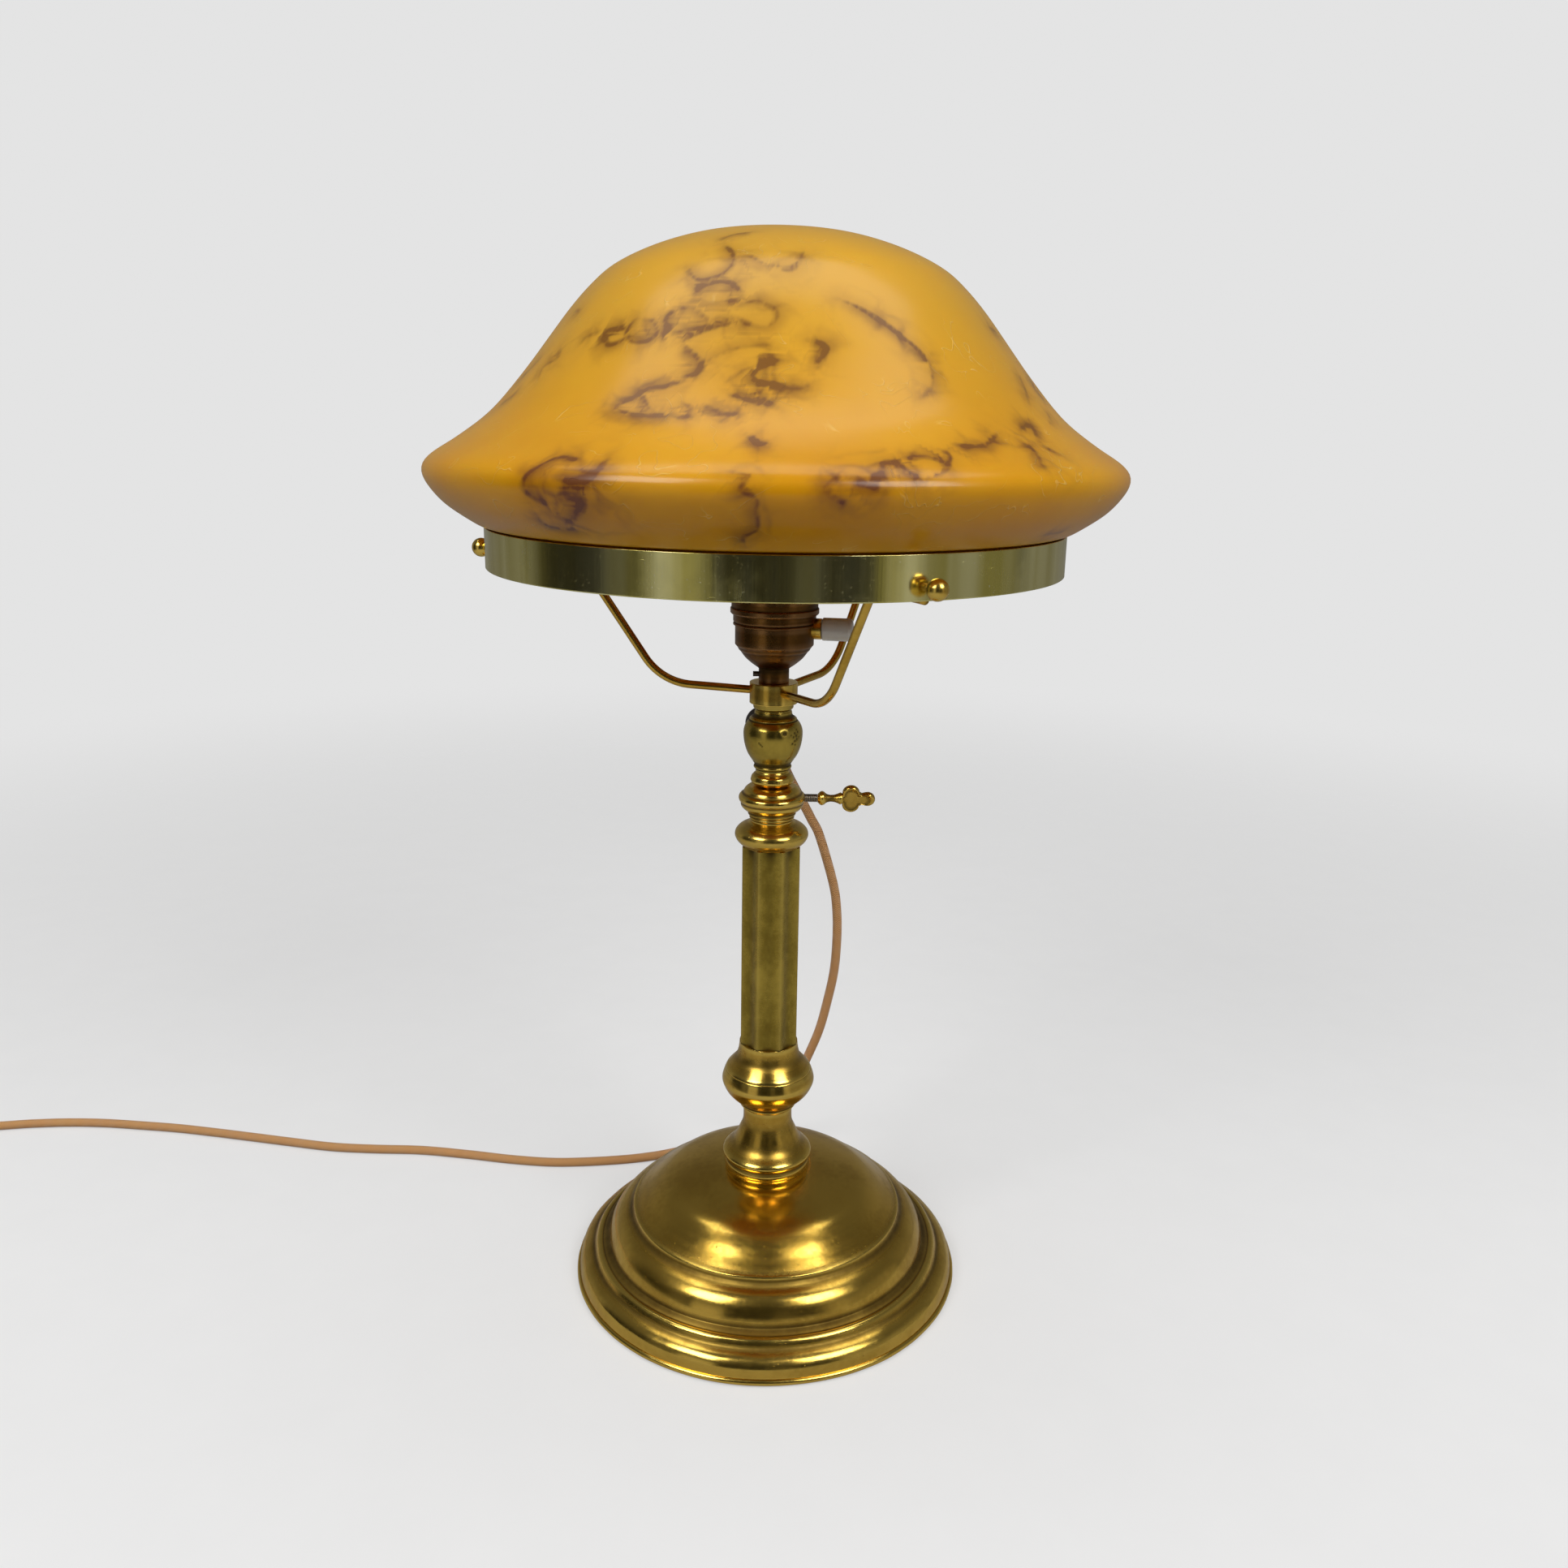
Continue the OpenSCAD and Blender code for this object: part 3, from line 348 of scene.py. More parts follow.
MATERIALS |= {
    "porcelain": plain("porcelain", (0.86, 0.83, 0.76), (0.74, 0.70, 0.62), 0.16, 120.0, 0.00003,
                       coat_weight=0.6, coat_roughness=0.08),
    "bakelite": plain("bakelite", (0.035, 0.018, 0.010), (0.018, 0.009, 0.006), 0.32, 220.0,
                      0.00004),
    "felt": plain("felt", (0.10, 0.16, 0.09), (0.05, 0.09, 0.05), 0.95, 900.0, 0.0006,
                  sheen_weight=0.5),
    "iron": plain("iron", (0.16, 0.15, 0.15), (0.07, 0.06, 0.055), 0.55, 500.0, 0.0003, 0.9),
    "wire": plain("wire", (0.50, 0.06, 0.03), (0.32, 0.03, 0.02), 0.4, 200.0, 0.00005),
    "bulb_glass": plain("bulb_glass", (0.93, 0.92, 0.88), (0.86, 0.85, 0.80), 0.22, 80.0, 0.00003,
                        coat_weight=0.5, coat_roughness=0.1),
}


print("plain finishes ready")

# %% [markdown]
# The cord's cover is plaited from copper-gold thread. Two sine waves that run round the cord in
# opposite senses, one laid over the other by turns, give the plait; the UV map says how far round
# and how far along each place is. An image of cloth would stretch in the bends.

# %% Textile
STRANDS, STEEP = 9.0, 900.0  # strands round the cord, and how fast they wind along it
FULL_TURN = 6.2832


def textile():
    """Copper-gold thread plaited round the cord: two helices of strands that cross."""
    s = Shader("textile")
    uv = s.surface()
    around = s.node("ShaderNodeSeparateXYZ", {"Vector": uv}, out="X")
    along = s.node("ShaderNodeSeparateXYZ", {"Vector": uv}, out="Y")
    right = s.math("SINE", (around * STRANDS + along * STEEP) * FULL_TURN)
    left = s.math("SINE", (around * STRANDS - along * STEEP) * FULL_TURN)
    over = s.band(s.math("SINE", (around * 3.0 + along * 130.0) * FULL_TURN), -0.5, 0.5)
    weave = right * over + left * (1.0 - over)
    long_drift = s.noise(s.point(), 60.0, 3.0, 0.5)
    # The colour follows the plait's height: thread of two tones, and painted shade in the gaps
    # between the strands.
    colour = s.mix(s.band(weave, -0.9, 0.7), (0.50, 0.17, 0.04), (1.0, 0.56, 0.20))
    colour = s.mix(s.band(long_drift, 0.35, 0.7) * 0.4, colour, (0.80, 0.42, 0.13))
    return s.finish(base_color=colour, roughness=0.5 - weave * 0.08, metallic=0.0,
                    normal=s.bump(weave, 0.00025, 0.7), sheen_weight=0.35,
                    specular_ior_level=0.7)


MATERIALS["textile"] = textile()
slot_of = {part["node"]: part["material_slot"] for part in frame["record"]["subparts"]}
for name, piece in nodes.items():
    piece.data.materials.clear()
    piece.data.materials.append(MATERIALS[slot_of[name]])
print(len(MATERIALS), "materials")

# %% [markdown]
# ## Reading an outline off the CAD
# A plane through a turned solid's axis cuts its mesh in a closed outline. The cut is made between
# the mesh's own seams, its bits are chained end to end, and long steps are filled in and
# smoothed, except at real corners, which only lose a hair's breadth so that they catch light.

# %% Sections
WELD = 5e-6  # points nearer than this are the same point


def section(node, turn=37.7, along=(0, 0, 1), at=(0, 0, 0)):
    """The outline of a turned CAD piece: (radius, place along the axis) points, in metres."""
    mesh = nodes[node].data
    mesh.calc_loop_triangles()
    co = np.empty(len(mesh.vertices) * 3)
    mesh.vertices.foreach_get("co", co)
    tri = np.empty(len(mesh.loop_triangles) * 3, int)
    mesh.loop_triangles.foreach_get("vertices", tri)
    w = np.array(Vector(along).normalized())
    u, v = side_axes(w, turn)
    p = co.reshape(-1, 3) - np.array(at)
    t = np.stack([p @ u, p @ v, p @ w], -1)[tri.reshape(-1, 3)]
    t = t[(t[:, :, 1].min(1) <= 0) & (t[:, :, 1].max(1) > 0)]
    cuts = []
    for corners in t:
        ends = []
        for a, b in ((0, 1), (1, 2), (2, 0)):
            p, q = sorted((tuple(corners[a]), tuple(corners[b])))
            if (p[1] > 0) != (q[1] > 0):
                k = p[1] / (p[1] - q[1])
                ends.append((p[0] + k * (q[0] - p[0]), p[2] + k * (q[2] - p[2])))
        if len(ends) == 2 and min(ends[0][0], ends[1][0]) > -1e-6 and math.dist(*ends) > 1e-7:
            cuts.append(ends)
    loops = []
    while cuts:
        path = list(cuts.pop())
        grew = True
        while grew:
            grew = False
            for i, (a, b) in enumerate(cuts):
                for p, q in ((a, b), (b, a)):
                    if math.dist(path[-1], p) < WELD:
                        path.append(q)
                    elif math.dist(path[0], p) < WELD:
                        path.insert(0, q)
                    else:
                        continue
                    cuts.pop(i)
                    grew = True
                    break
                if grew:
                    break
        loops.append(path)
    path = np.array(max(loops, key=lambda x: sum(math.dist(*e) for e in zip(x, x[1:]))))
    area = np.sum(path[:, 0] * np.roll(path[:, 1], -1) - np.roll(path[:, 0], -1) * path[:, 1])
    return path if area > 0 else path[::-1]


def side_axes(w, turn=0.0):
    """Two directions across the axis w, the first at angle turn, in degrees."""
    first = np.array([1.0, 0, 0]) if abs(w[0]) < 0.9 else np.array([0, 0, 1.0])
    first = first - (first @ w) * w
    first /= np.linalg.norm(first)
    second = np.cross(w, first)
    a = math.radians(turn)
    return first * math.cos(a) + second * math.sin(a), second * math.cos(a) - first * math.sin(a)


print("a check:", len(section("stop_bead")), "points round the bead")

# %% [markdown]
# The raw outline has long and short steps. It is cut at its real corners, and each run between
# two corners gets even steps and a little smoothing. Smoothing over the corners as well would
# melt the crisp beads.

# %% Even steps
CORNER = 38  # degrees: a sharper bend than this stays a corner


def refined(path, step, closed, soften=0.00012, blur=4, hidden=None):
    """The outline with even, smooth steps; hidden says where long steps will do."""
    if closed:
        path = path[:-1]
    keep = [i for i in range(len(path)) if math.dist(path[i], path[i - 1]) > 2e-6]
    path = path[keep]
    n = len(path)
    corners = []
    for i in range(n):
        if not closed and i in (0, n - 1):
            corners.append(i)
            continue
        a, b = path[i] - path[i - 1], path[(i + 1) % n] - path[i]
        bend = abs(math.degrees(math.atan2(a[0] * b[1] - a[1] * b[0], a @ b)))
        if bend > CORNER:
            corners.append(i)
    if closed:
        path = np.roll(path, -corners[0], 0)
        corners = [c - corners[0] for c in corners] + [n]
        path = np.vstack([path, path[:1]])
    out = []
    for a, b in zip(corners, corners[1:]):
        run = path[a:b + 1]
        s = np.r_[0, np.cumsum(np.hypot(*np.diff(run, axis=0).T))]
        middle = run[len(run) // 2] if len(run) > 2 else run.mean(0)
        gap = step * (6 if hidden and hidden(*middle) else 1)
        count = max(2, int(math.ceil(s[-1] / gap)))
        cut = min(soften, s[-1] * 0.2)
        t = np.linspace(cut, s[-1] - cut, count + 1)
        pts = np.stack([np.interp(t, s, run[:, 0]), np.interp(t, s, run[:, 1])], -1)
        for _ in range(blur if gap == step else 0):
            pts[1:-1] = (pts[:-2] + 2 * pts[1:-1] + pts[2:]) / 4
        out.append(pts)
    return np.vstack(out + ([out[0][:1]] if closed else []))


print("refining ready")

# %% [markdown]
# Dirt gathers in hollows and polish wears the crests. Both are read off the outline: each point
# is compared with the chord between its neighbours a little way off on either side.

# %% Hollows and crests
NEAR_REACH = 0.0009  # metres


def hollows(path, closed):
    """(dirt_and_shade, wear) for each point: how far it lies in a hollow or stands on a crest."""
    s = np.r_[0, np.cumsum(np.hypot(*np.diff(path, axis=0).T))]
    total = s[-1]

    def at(t):
        t = np.mod(t, total) if closed else np.clip(t, 0, total)
        return np.stack([np.interp(t, s, path[:, 0]), np.interp(t, s, path[:, 1])], -1)

    dirt_and_shade, wear = np.zeros(len(path)), np.zeros(len(path))
    for width, full in ((NEAR_REACH, 0.00016), (NEAR_REACH * 3, 0.0007)):
        back, ahead = at(s - width), at(s + width)
        tangent = ahead - back
        tangent /= np.maximum(np.linalg.norm(tangent, axis=1, keepdims=True), 1e-9)
        normal = np.stack([tangent[:, 1], -tangent[:, 0]], -1)
        rise = (((back + ahead) / 2 - path) * normal).sum(1) / full
        dirt_and_shade = np.maximum(dirt_and_shade, np.clip(rise, 0, 1))
        wear = np.maximum(wear, np.clip(-rise, 0, 1))
    return dirt_and_shade, wear


print("hollows and crests ready")

# %% [markdown]
# ## Turning and sweeping
# Pieces are grids of quads, given a UV map (turns round, metres along) and marks for the
# shaders. `build` is the one place where a piece gets its body, slot and nodes, so none is missed.

# %% Pieces and grids
def build(name, points, faces, body, slot, replaces=(), uv=None, marks=None):
    """A smooth mesh piece that rides on a body, wears its slot's material and stands for nodes."""
    mesh = bpy.data.meshes.new(name)
    mesh.from_pydata(points if isinstance(points, list) else points.tolist(), [], faces)
    if uv is not None:
        layer = mesh.uv_layers.new(name="UVMap")
        layer.data.foreach_set("uv", np.asarray(uv, np.float32).ravel())
    for mark, numbers in (marks or {}).items():
        numbers = np.asarray(numbers, np.float32)
        kind, field = ("FLOAT", "value") if numbers.ndim == 1 else ("FLOAT_VECTOR", "vector")
        mesh.attributes.new(mark, kind, "POINT").data.foreach_set(field, numbers.ravel())
    mesh.polygons.foreach_set("use_smooth", [True] * len(mesh.polygons))
    mesh.materials.append(MATERIALS[slot])
    mesh.update()
    piece = bpy.data.objects.new(name, mesh)
    bpy.context.scene.collection.objects.link(piece)
    if body:
        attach(piece, body)
    if replaces:
        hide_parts(*replaces)
    return piece


def grid_faces(rows, columns):
    """Quads of a grid whose columns close round, with the row and the column of each."""
    r, c = np.divmod(np.arange((rows - 1) * columns), columns)
    n = (c + 1) % columns
    return np.stack([r * columns + c, r * columns + n, (r + 1) * columns + n,
                     (r + 1) * columns + c], -1), r, c


def grid_uv(r, c, columns, along):
    u0, u1 = c / columns, (c + 1) / columns
    v0, v1 = along[r], along[r + 1]
    return np.stack([u0, v0, u1, v0, u1, v1, u0, v1], -1).reshape(-1, 2)


print("grids and pieces ready")

# %% [markdown]
# `turned` spins an outline round its axis, as a lathe does. Blender's Spin could do it too, but
# then the marks and the UV map would have to be worked out afterwards.

# %% Turning
def turned(name, node, body, step=0.00025, around=144, along=(0, 0, 1), at=(0, 0, 0), turn=37.7,
           shape=None, extra=None, hidden=None, path=None, **options):
    """A turned piece from the outline of a CAD node. shape moves its points, extra adds marks."""
    path = section(node, turn, along, at) if path is None else path
    closed = math.dist(path[0], path[-1]) < WELD
    path = refined(path, step, closed, hidden=hidden, **options)
    dirt_and_shade, wear = hollows(path, closed)
    s = np.r_[0, np.cumsum(np.hypot(*np.diff(path, axis=0).T))]
    if closed:
        path, dirt_and_shade, wear = path[:-1], dirt_and_shade[:-1], wear[:-1]
    w = np.array(Vector(along).normalized())
    u, v = side_axes(w)
    angle = np.arange(around) * 2 * math.pi / around
    ring = np.cos(angle)[:, None] * u + np.sin(angle)[:, None] * v
    co = (path[:, 0][:, None, None] * ring[None] + path[:, 1][:, None, None] * w).reshape(-1, 3)
    co = co + np.array(at)
    rows = len(path)
    faces, r, c = grid_faces(rows, around)
    uv = grid_uv(r, c, around, s)
    faces = [tuple(f) for f in faces.tolist()]
    uv = list(uv)
    if closed:
        last = rows - 1
        for i in range(around):
            j = (i + 1) % around
            faces.append((last * around + i, last * around + j, j, i))
            uv += [(i / around, s[last]), ((i + 1) / around, s[last]),
                   ((i + 1) / around, s[-1]), (i / around, s[-1])]
    else:
        for row, turn_back in ((0, True), (rows - 1, False)):
            if path[row, 0] > 1e-5:
                loop = [row * around + i for i in range(around)]
                faces.append(tuple(loop[::-1] if turn_back else loop))
                uv += [(0.5, s[row])] * around
    marks = {"dirt_and_shade": np.repeat(dirt_and_shade, around), "wear": np.repeat(wear, around)}
    if shape is not None:
        co = shape(co)
    if extra is not None:
        marks |= extra(co)
    return build(name, co, faces, body, slot_of[node], (node,), uv, marks)


print("turning ready")

# %% [markdown]
# `tube` sweeps a round section along a path. Each ring's first direction is carried over from the
# ring before it, so the tube never twists, as it can where a curve's own frame flips.

# %% Sweeping
def tube(name, points, radius, body, slot, replaces=(), sides=16, swell=None):
    """A round tube along points, in metres; swell gives the radius at each place along it."""
    p = np.array(points, float)
    heading = np.gradient(p, axis=0)
    heading /= np.linalg.norm(heading, axis=1, keepdims=True)
    s = np.r_[0, np.cumsum(np.linalg.norm(np.diff(p, axis=0), axis=1))]
    side = np.cross(heading[0], (0.31, 0.17, 0.93))
    rings = []
    for i, d in enumerate(heading):
        side = side - (side @ d) * d
        side /= np.linalg.norm(side)
        other = np.cross(d, side)
        a = np.arange(sides) * 2 * math.pi / sides
        r = swell(s[i]) if swell else radius
        rings.append(p[i] + r * (np.cos(a)[:, None] * side + np.sin(a)[:, None] * other))
    faces, r, c = grid_faces(len(p), sides)
    faces = [tuple(f) for f in faces.tolist()]
    uv = list(grid_uv(r, c, sides, s))
    last = (len(p) - 1) * sides
    faces += [tuple(range(sides))[::-1], tuple(last + i for i in range(sides))]
    uv += [(0.5, 0)] * sides + [(0.5, s[-1])] * sides
    return build(name, np.vstack(rings), faces, body, slot, replaces, uv)


print("sweeping ready")

# %% [markdown]
# ## The cord comes first
# The cord is one length of textile lead: out of the strain relief, down behind the column, to the
# left along the table, and the rest wound in a neat coil at its end, with the plug next to
# it. The route's points are the ones its solid was drawn from.

# %% The cord's route
CORD_D = 0.005
ROUTE = [
    (-2, 47, 268), (-1, 55, 263.5), (3.5, 61.5, 254), (8, 65, 242.5), (16.5, 69, 225.5),
    (20.5, 70, 217.5), (25, 71.5, 208), (33, 76, 180), (35.5, 77.5, 163), (36, 79.5, 145),
    (35, 82, 126), (32, 86, 106.5), (28, 90.5, 86.5), (22, 96, 67), (15, 102, 46.5),
    (7.5, 107, 28), (-3, 110.5, 12.5), (-17, 110, 4.5), (-32, 106.5, 2.5), (-48, 100, 2.5),
    (-66, 92.5, 2.5), (-88.5, 87, 2.5), (-121, 83.5, 2.5), (-148, 85.5, 2.5), (-174.5, 90, 2.5),
    (-204, 94, 2.5), (-233, 94.5, 2.5), (-257.5, 96, 2.5), (-283, 100.5, 2.5), (-309, 105.5, 2.5),
    (-333, 110, 2.5), (-357, 114, 2.5), (-380, 116.5, 2.5), (-403, 118.5, 2.5),
    (-425, 118.5, 2.5), (-446.5, 116.5, 2.5), (-463.5, 113.5, 2.5), (-480, 111.5, 2.5),
    (-497, 110.5, 2.5)]
COIL = (-500, 73)
COIL_MID, TAIL = 28, 30


def smooth_path(points, step):
    """A Catmull-Rom curve through points, in steps of one length."""
    p = np.array(points, float)
    p = np.vstack([2 * p[0] - p[1], p, 2 * p[-1] - p[-2]])
    out = []
    for a, b, c, d in zip(p, p[1:], p[2:], p[3:]):
        t = np.linspace(0, 1, 13)[:-1, None]
        out.append((2 * b + (c - a) * t + (2 * a - 5 * b + 4 * c - d) * t ** 2
                    + (3 * b - a - 3 * c + d) * t ** 3) / 2)
    out = np.vstack(out + [p[-2:-1]])
    return evenly(out, step)


def evenly(p, step):
    p = np.asarray(p, float)
    s = np.r_[0, np.cumsum(np.linalg.norm(np.diff(p, axis=0), axis=1))]
    t = np.linspace(0, s[-1], max(2, int(round(s[-1] / step))) + 1)
    return np.stack([np.interp(t, s, p[:, k]) for k in range(3)], -1)


print(len(ROUTE), "points on the cord's route")

# %% [markdown]
# The coil lies in two layers: in along the table, up in the middle and out again on top. The
# cord is then one smooth sweep; separate pieces would show a joint.


def coil_path():
    """Two layers of turns: in along the table, up in the middle, and out again on top."""
    pts = []
    for t in np.arange(0.02, 5.25, 0.02):
        if t < 2:
            r, z = COIL_MID + 5 - 5 * t, 2.5
        elif t < 3:
            k = t - 2
            r, z = COIL_MID - 5 - 2.6 * math.sin(math.pi * k), 2.5 + 5 * k * k * (3 - 2 * k)
        else:
            r, z = COIL_MID - 5 + 5 * min(t - 3, 2), 7.5
        a = math.radians(90 + 360 * t)
        pts.append((COIL[0] + r * math.cos(a), COIL[1] + r * math.sin(a), z))
    return pts


tail_x = COIL[0] - COIL_MID - 5
whole = ROUTE + coil_path()[1:] + [(tail_x, COIL[1] - y, 7.5) for y in (1, 10, 20, TAIL)]
path = smooth_path(whole, 2.0) * MM
path[:, 2] = np.maximum(path[:, 2], CORD_D / 2)
cord = tube("cord", path, CORD_D / 2, None, "textile", sides=14)
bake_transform(cord)
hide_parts("cord_lead", "cord_coil", "cord_tail")

# %% [markdown]
# ## What is on the cord
# The strain relief where the cord leaves the lamp is a moulded taper with ribs, so the cord never
# bends sharply at its exit. The plug is a flat moulded body: rounded sections are lofted along
# its length, with a waist to grip. Its pins are round and turned.

# %% Strain reliefs, plug and pins
relief_axis = np.array(ROUTE[0]) - np.array(ROUTE[1])
relief_axis = relief_axis / np.linalg.norm(relief_axis)
start = np.array(ROUTE[0]) * MM
RELIEF = 27


def ribbed(first, last, length, ribs):
    def radius(s):
        k = s / (length * MM)
        rib = 0.25 * max(0.0, math.sin(2 * math.pi * ribs * k)) * (0.1 < k < 0.8)
        return (first + (last - first) * k + rib) * MM
    return radius


relief_line = [start + relief_axis * x * MM for x in np.linspace(0, 24.6, 90)]
relief = tube("cord_relief_ribbed", relief_line, 0, "stem", "bakelite", ("cord_relief",), 28,
              swell=ribbed(3.3, 4.7, RELIEF, 7))


def on_tail(x):
    return np.array((tail_x, COIL[1] - x, 7.5)) * MM


plug_line = [on_tail(TAIL + x) for x in np.linspace(0, 21.9, 80)]
plug_relief = tube("plug_relief_ribbed", plug_line, 0, "base", "bakelite", ("plug_relief",), 28,
                   swell=ribbed(3.3, 4.9, 22, 6))
print("strain reliefs made")


def plug():
    """Rounded oblong sections along the plug, from the cord to the face that carries the pins."""
    base, length, points = TAIL + 22, 35, []
    rows, columns = 60, 64
    for i in range(rows):
        k = i / (rows - 1)
        grow = k * k * (3 - 2 * k)
        waist = 1 - 0.08 * math.exp(-((k - 0.45) / 0.16) ** 2)
        end = min(1.0, (1 - k) * 16, k * 16)
        end = math.sqrt(max(0.0, 1 - (1 - end) ** 2)) * 0.06 + 0.94
        half_w, half_t = (5.6 + 7.4 * grow) * waist * end, (5.5 + 1.5 * grow) * end
        for j in range(columns):
            a = 2 * math.pi * j / columns
            x = half_w * math.copysign(abs(math.cos(a)) ** 0.62, math.cos(a))
            z = half_t * math.copysign(abs(math.sin(a)) ** 0.62, math.sin(a))
            points.append((on_tail(base + k * length) + np.array((x, 0, z)) * MM).tolist())
    faces, r, c = grid_faces(rows, columns)
    faces = [tuple(f) for f in faces.tolist()]
    faces += [tuple(range(columns))[::-1], tuple((rows - 1) * columns + j for j in range(columns))]
    return build("plug_body_moulded", points, faces, "base", "bakelite", ("plug_body",))


plug_body = plug()


print("plug:", len(plug_body.data.polygons), "faces")


def pin_radius(s):
    """Straight, with a rounded tip over the last two millimetres."""
    return 0.002 * math.sqrt(max(0.05, 1 - max(0, s / 0.0019 - 9) ** 2))


def pins():
    made = []
    for side, x in (("a", -9.5), ("b", 9.5)):
        p = [on_tail(TAIL + 57 + y) + np.array((x * MM, 0, 0)) for y in np.linspace(0, 19, 40)]
        made.append(tube("plug_pin_" + side, p, 0, "base", "pin_metal",
                         ("plug_pins",) if side == "a" else (), 24, swell=pin_radius))
    return made


plug_pins = pins()
print("relief, plug and pins made")

# %% [markdown]
# ## The base and the column
# All turned brass. The base is spun from thin sheet: it got knocks in its life, so its wall is
# pushed in and out by slow noise, and its skirt shows the marks of the spinning tool. The knop,
# foot, flange and collar are solid turnings and stay true.

# %% Base and column
def dented(co):
    """Slow dents in the dome and closer tool marks on the skirt of the base."""
    radius = np.hypot(co[:, 0], co[:, 1])
    skirt = np.clip((radius - 0.080) / 0.010, 0, 1)
    out = co.copy()
    for i, (x, y, z) in enumerate(co):
        slow = noise.noise(Vector((x * 22, y * 22, z * 22)))
        close = noise.noise(Vector((x * 95, y * 95, z * 60 + 5)))
        push = (slow * 0.00045 + close * (0.00003 + 0.00013 * skirt[i])) * min(1, radius[i] / 0.03)
        out[i] *= (1 + push / max(0.02, radius[i]), 1 + push / max(0.02, radius[i]), 1)
        out[i, 2] = max(out[i, 2] + push * 0.5, 0.0002)
    return out


def in_bore(r, z):
    """The bores of the column's turnings, which nobody sees."""
    return r < 0.0091


base = turned("base_spun", "base_shell", "base", 0.0005, 224, shape=dented, blur=3,
              hidden=lambda r, z: r < 0.019)
for name, node, fine in (("foot", "column_foot", 0.0003), ("knop_under", "knop_lower", 0.0003),
                         ("knop_over", "knop_upper", 0.0003),
                         ("flange", "column_flange", 0.00025), ("collar", "clamp_collar", 0.00022)):
    turned(name + "_turned", node, "base", fine, 144, hidden=in_bore)
print("base:", len(base.data.polygons), "faces")

# %% [markdown]
# ## The fluted tube
# Eight wide hollow flutes with narrow ridges between them. The hollows run on to both ends, so
# the tube meets the round seat below it in a scalloped edge. Near both ends the hollows are
# painted darker, which is painted shade under the flange and above the seat, and a thin painted
# shadow line runs round the foot.
# Its shape follows a rule, so Geometry Nodes grow it: a circle whose radius dips eight times,
# carried up a line. The sizes are named inputs; a mesh written out by hand would hide the rule.

# %% Growing a shape
class Growth(Shader):
    """A Geometry Nodes tree with named sizes, built with the same expressions as a material."""

    def __init__(self, name, sizes):
        self.tree = bpy.data.node_groups.new(name, "GeometryNodeTree")
        self.tree.interface.new_socket("Geometry", in_out="OUTPUT",
                                       socket_type="NodeSocketGeometry")
        for size, kind in sizes.items():
            self.tree.interface.new_socket(size, in_out="INPUT",
                                           socket_type="NodeSocket" + kind)
        self.given = self.tree.nodes.new("NodeGroupInput")

    def size(self, name):
        return Value(self, self.given.outputs[name])

    def grow(self, name, shape, sizes, slot):
        """Runs the tree once with these sizes and returns the plain mesh."""
        solid = self.node("GeometryNodeRealizeInstances", {0: shape})
        solid = self.node("GeometryNodeSetMaterial", {0: solid, "Material": MATERIALS[slot]})
        self.tree.links.new(solid.socket, self.tree.nodes.new("NodeGroupOutput").inputs[0])
        holder = bpy.data.objects.new(name, bpy.data.meshes.new(name))
        bpy.context.scene.collection.objects.link(holder)
        modifier = holder.modifiers.new(name, "NODES")
        modifier.node_group = self.tree
        for item in self.tree.interface.items_tree:
            if item.in_out == "INPUT":
                modifier[item.identifier] = sizes[item.name]
        graph = bpy.context.evaluated_depsgraph_get()
        mesh = bpy.data.meshes.new_from_object(holder.evaluated_get(graph))
        bpy.data.objects.remove(holder)
        mesh.name = name
        return mesh


print("growing ready")

# %% [markdown]
# The flutes themselves: the radius dips with the cosine of eight times half the angle, and a
# power narrows the ridges between the dips. The marks are worked out afterwards from the plain
# mesh, with the same rule.

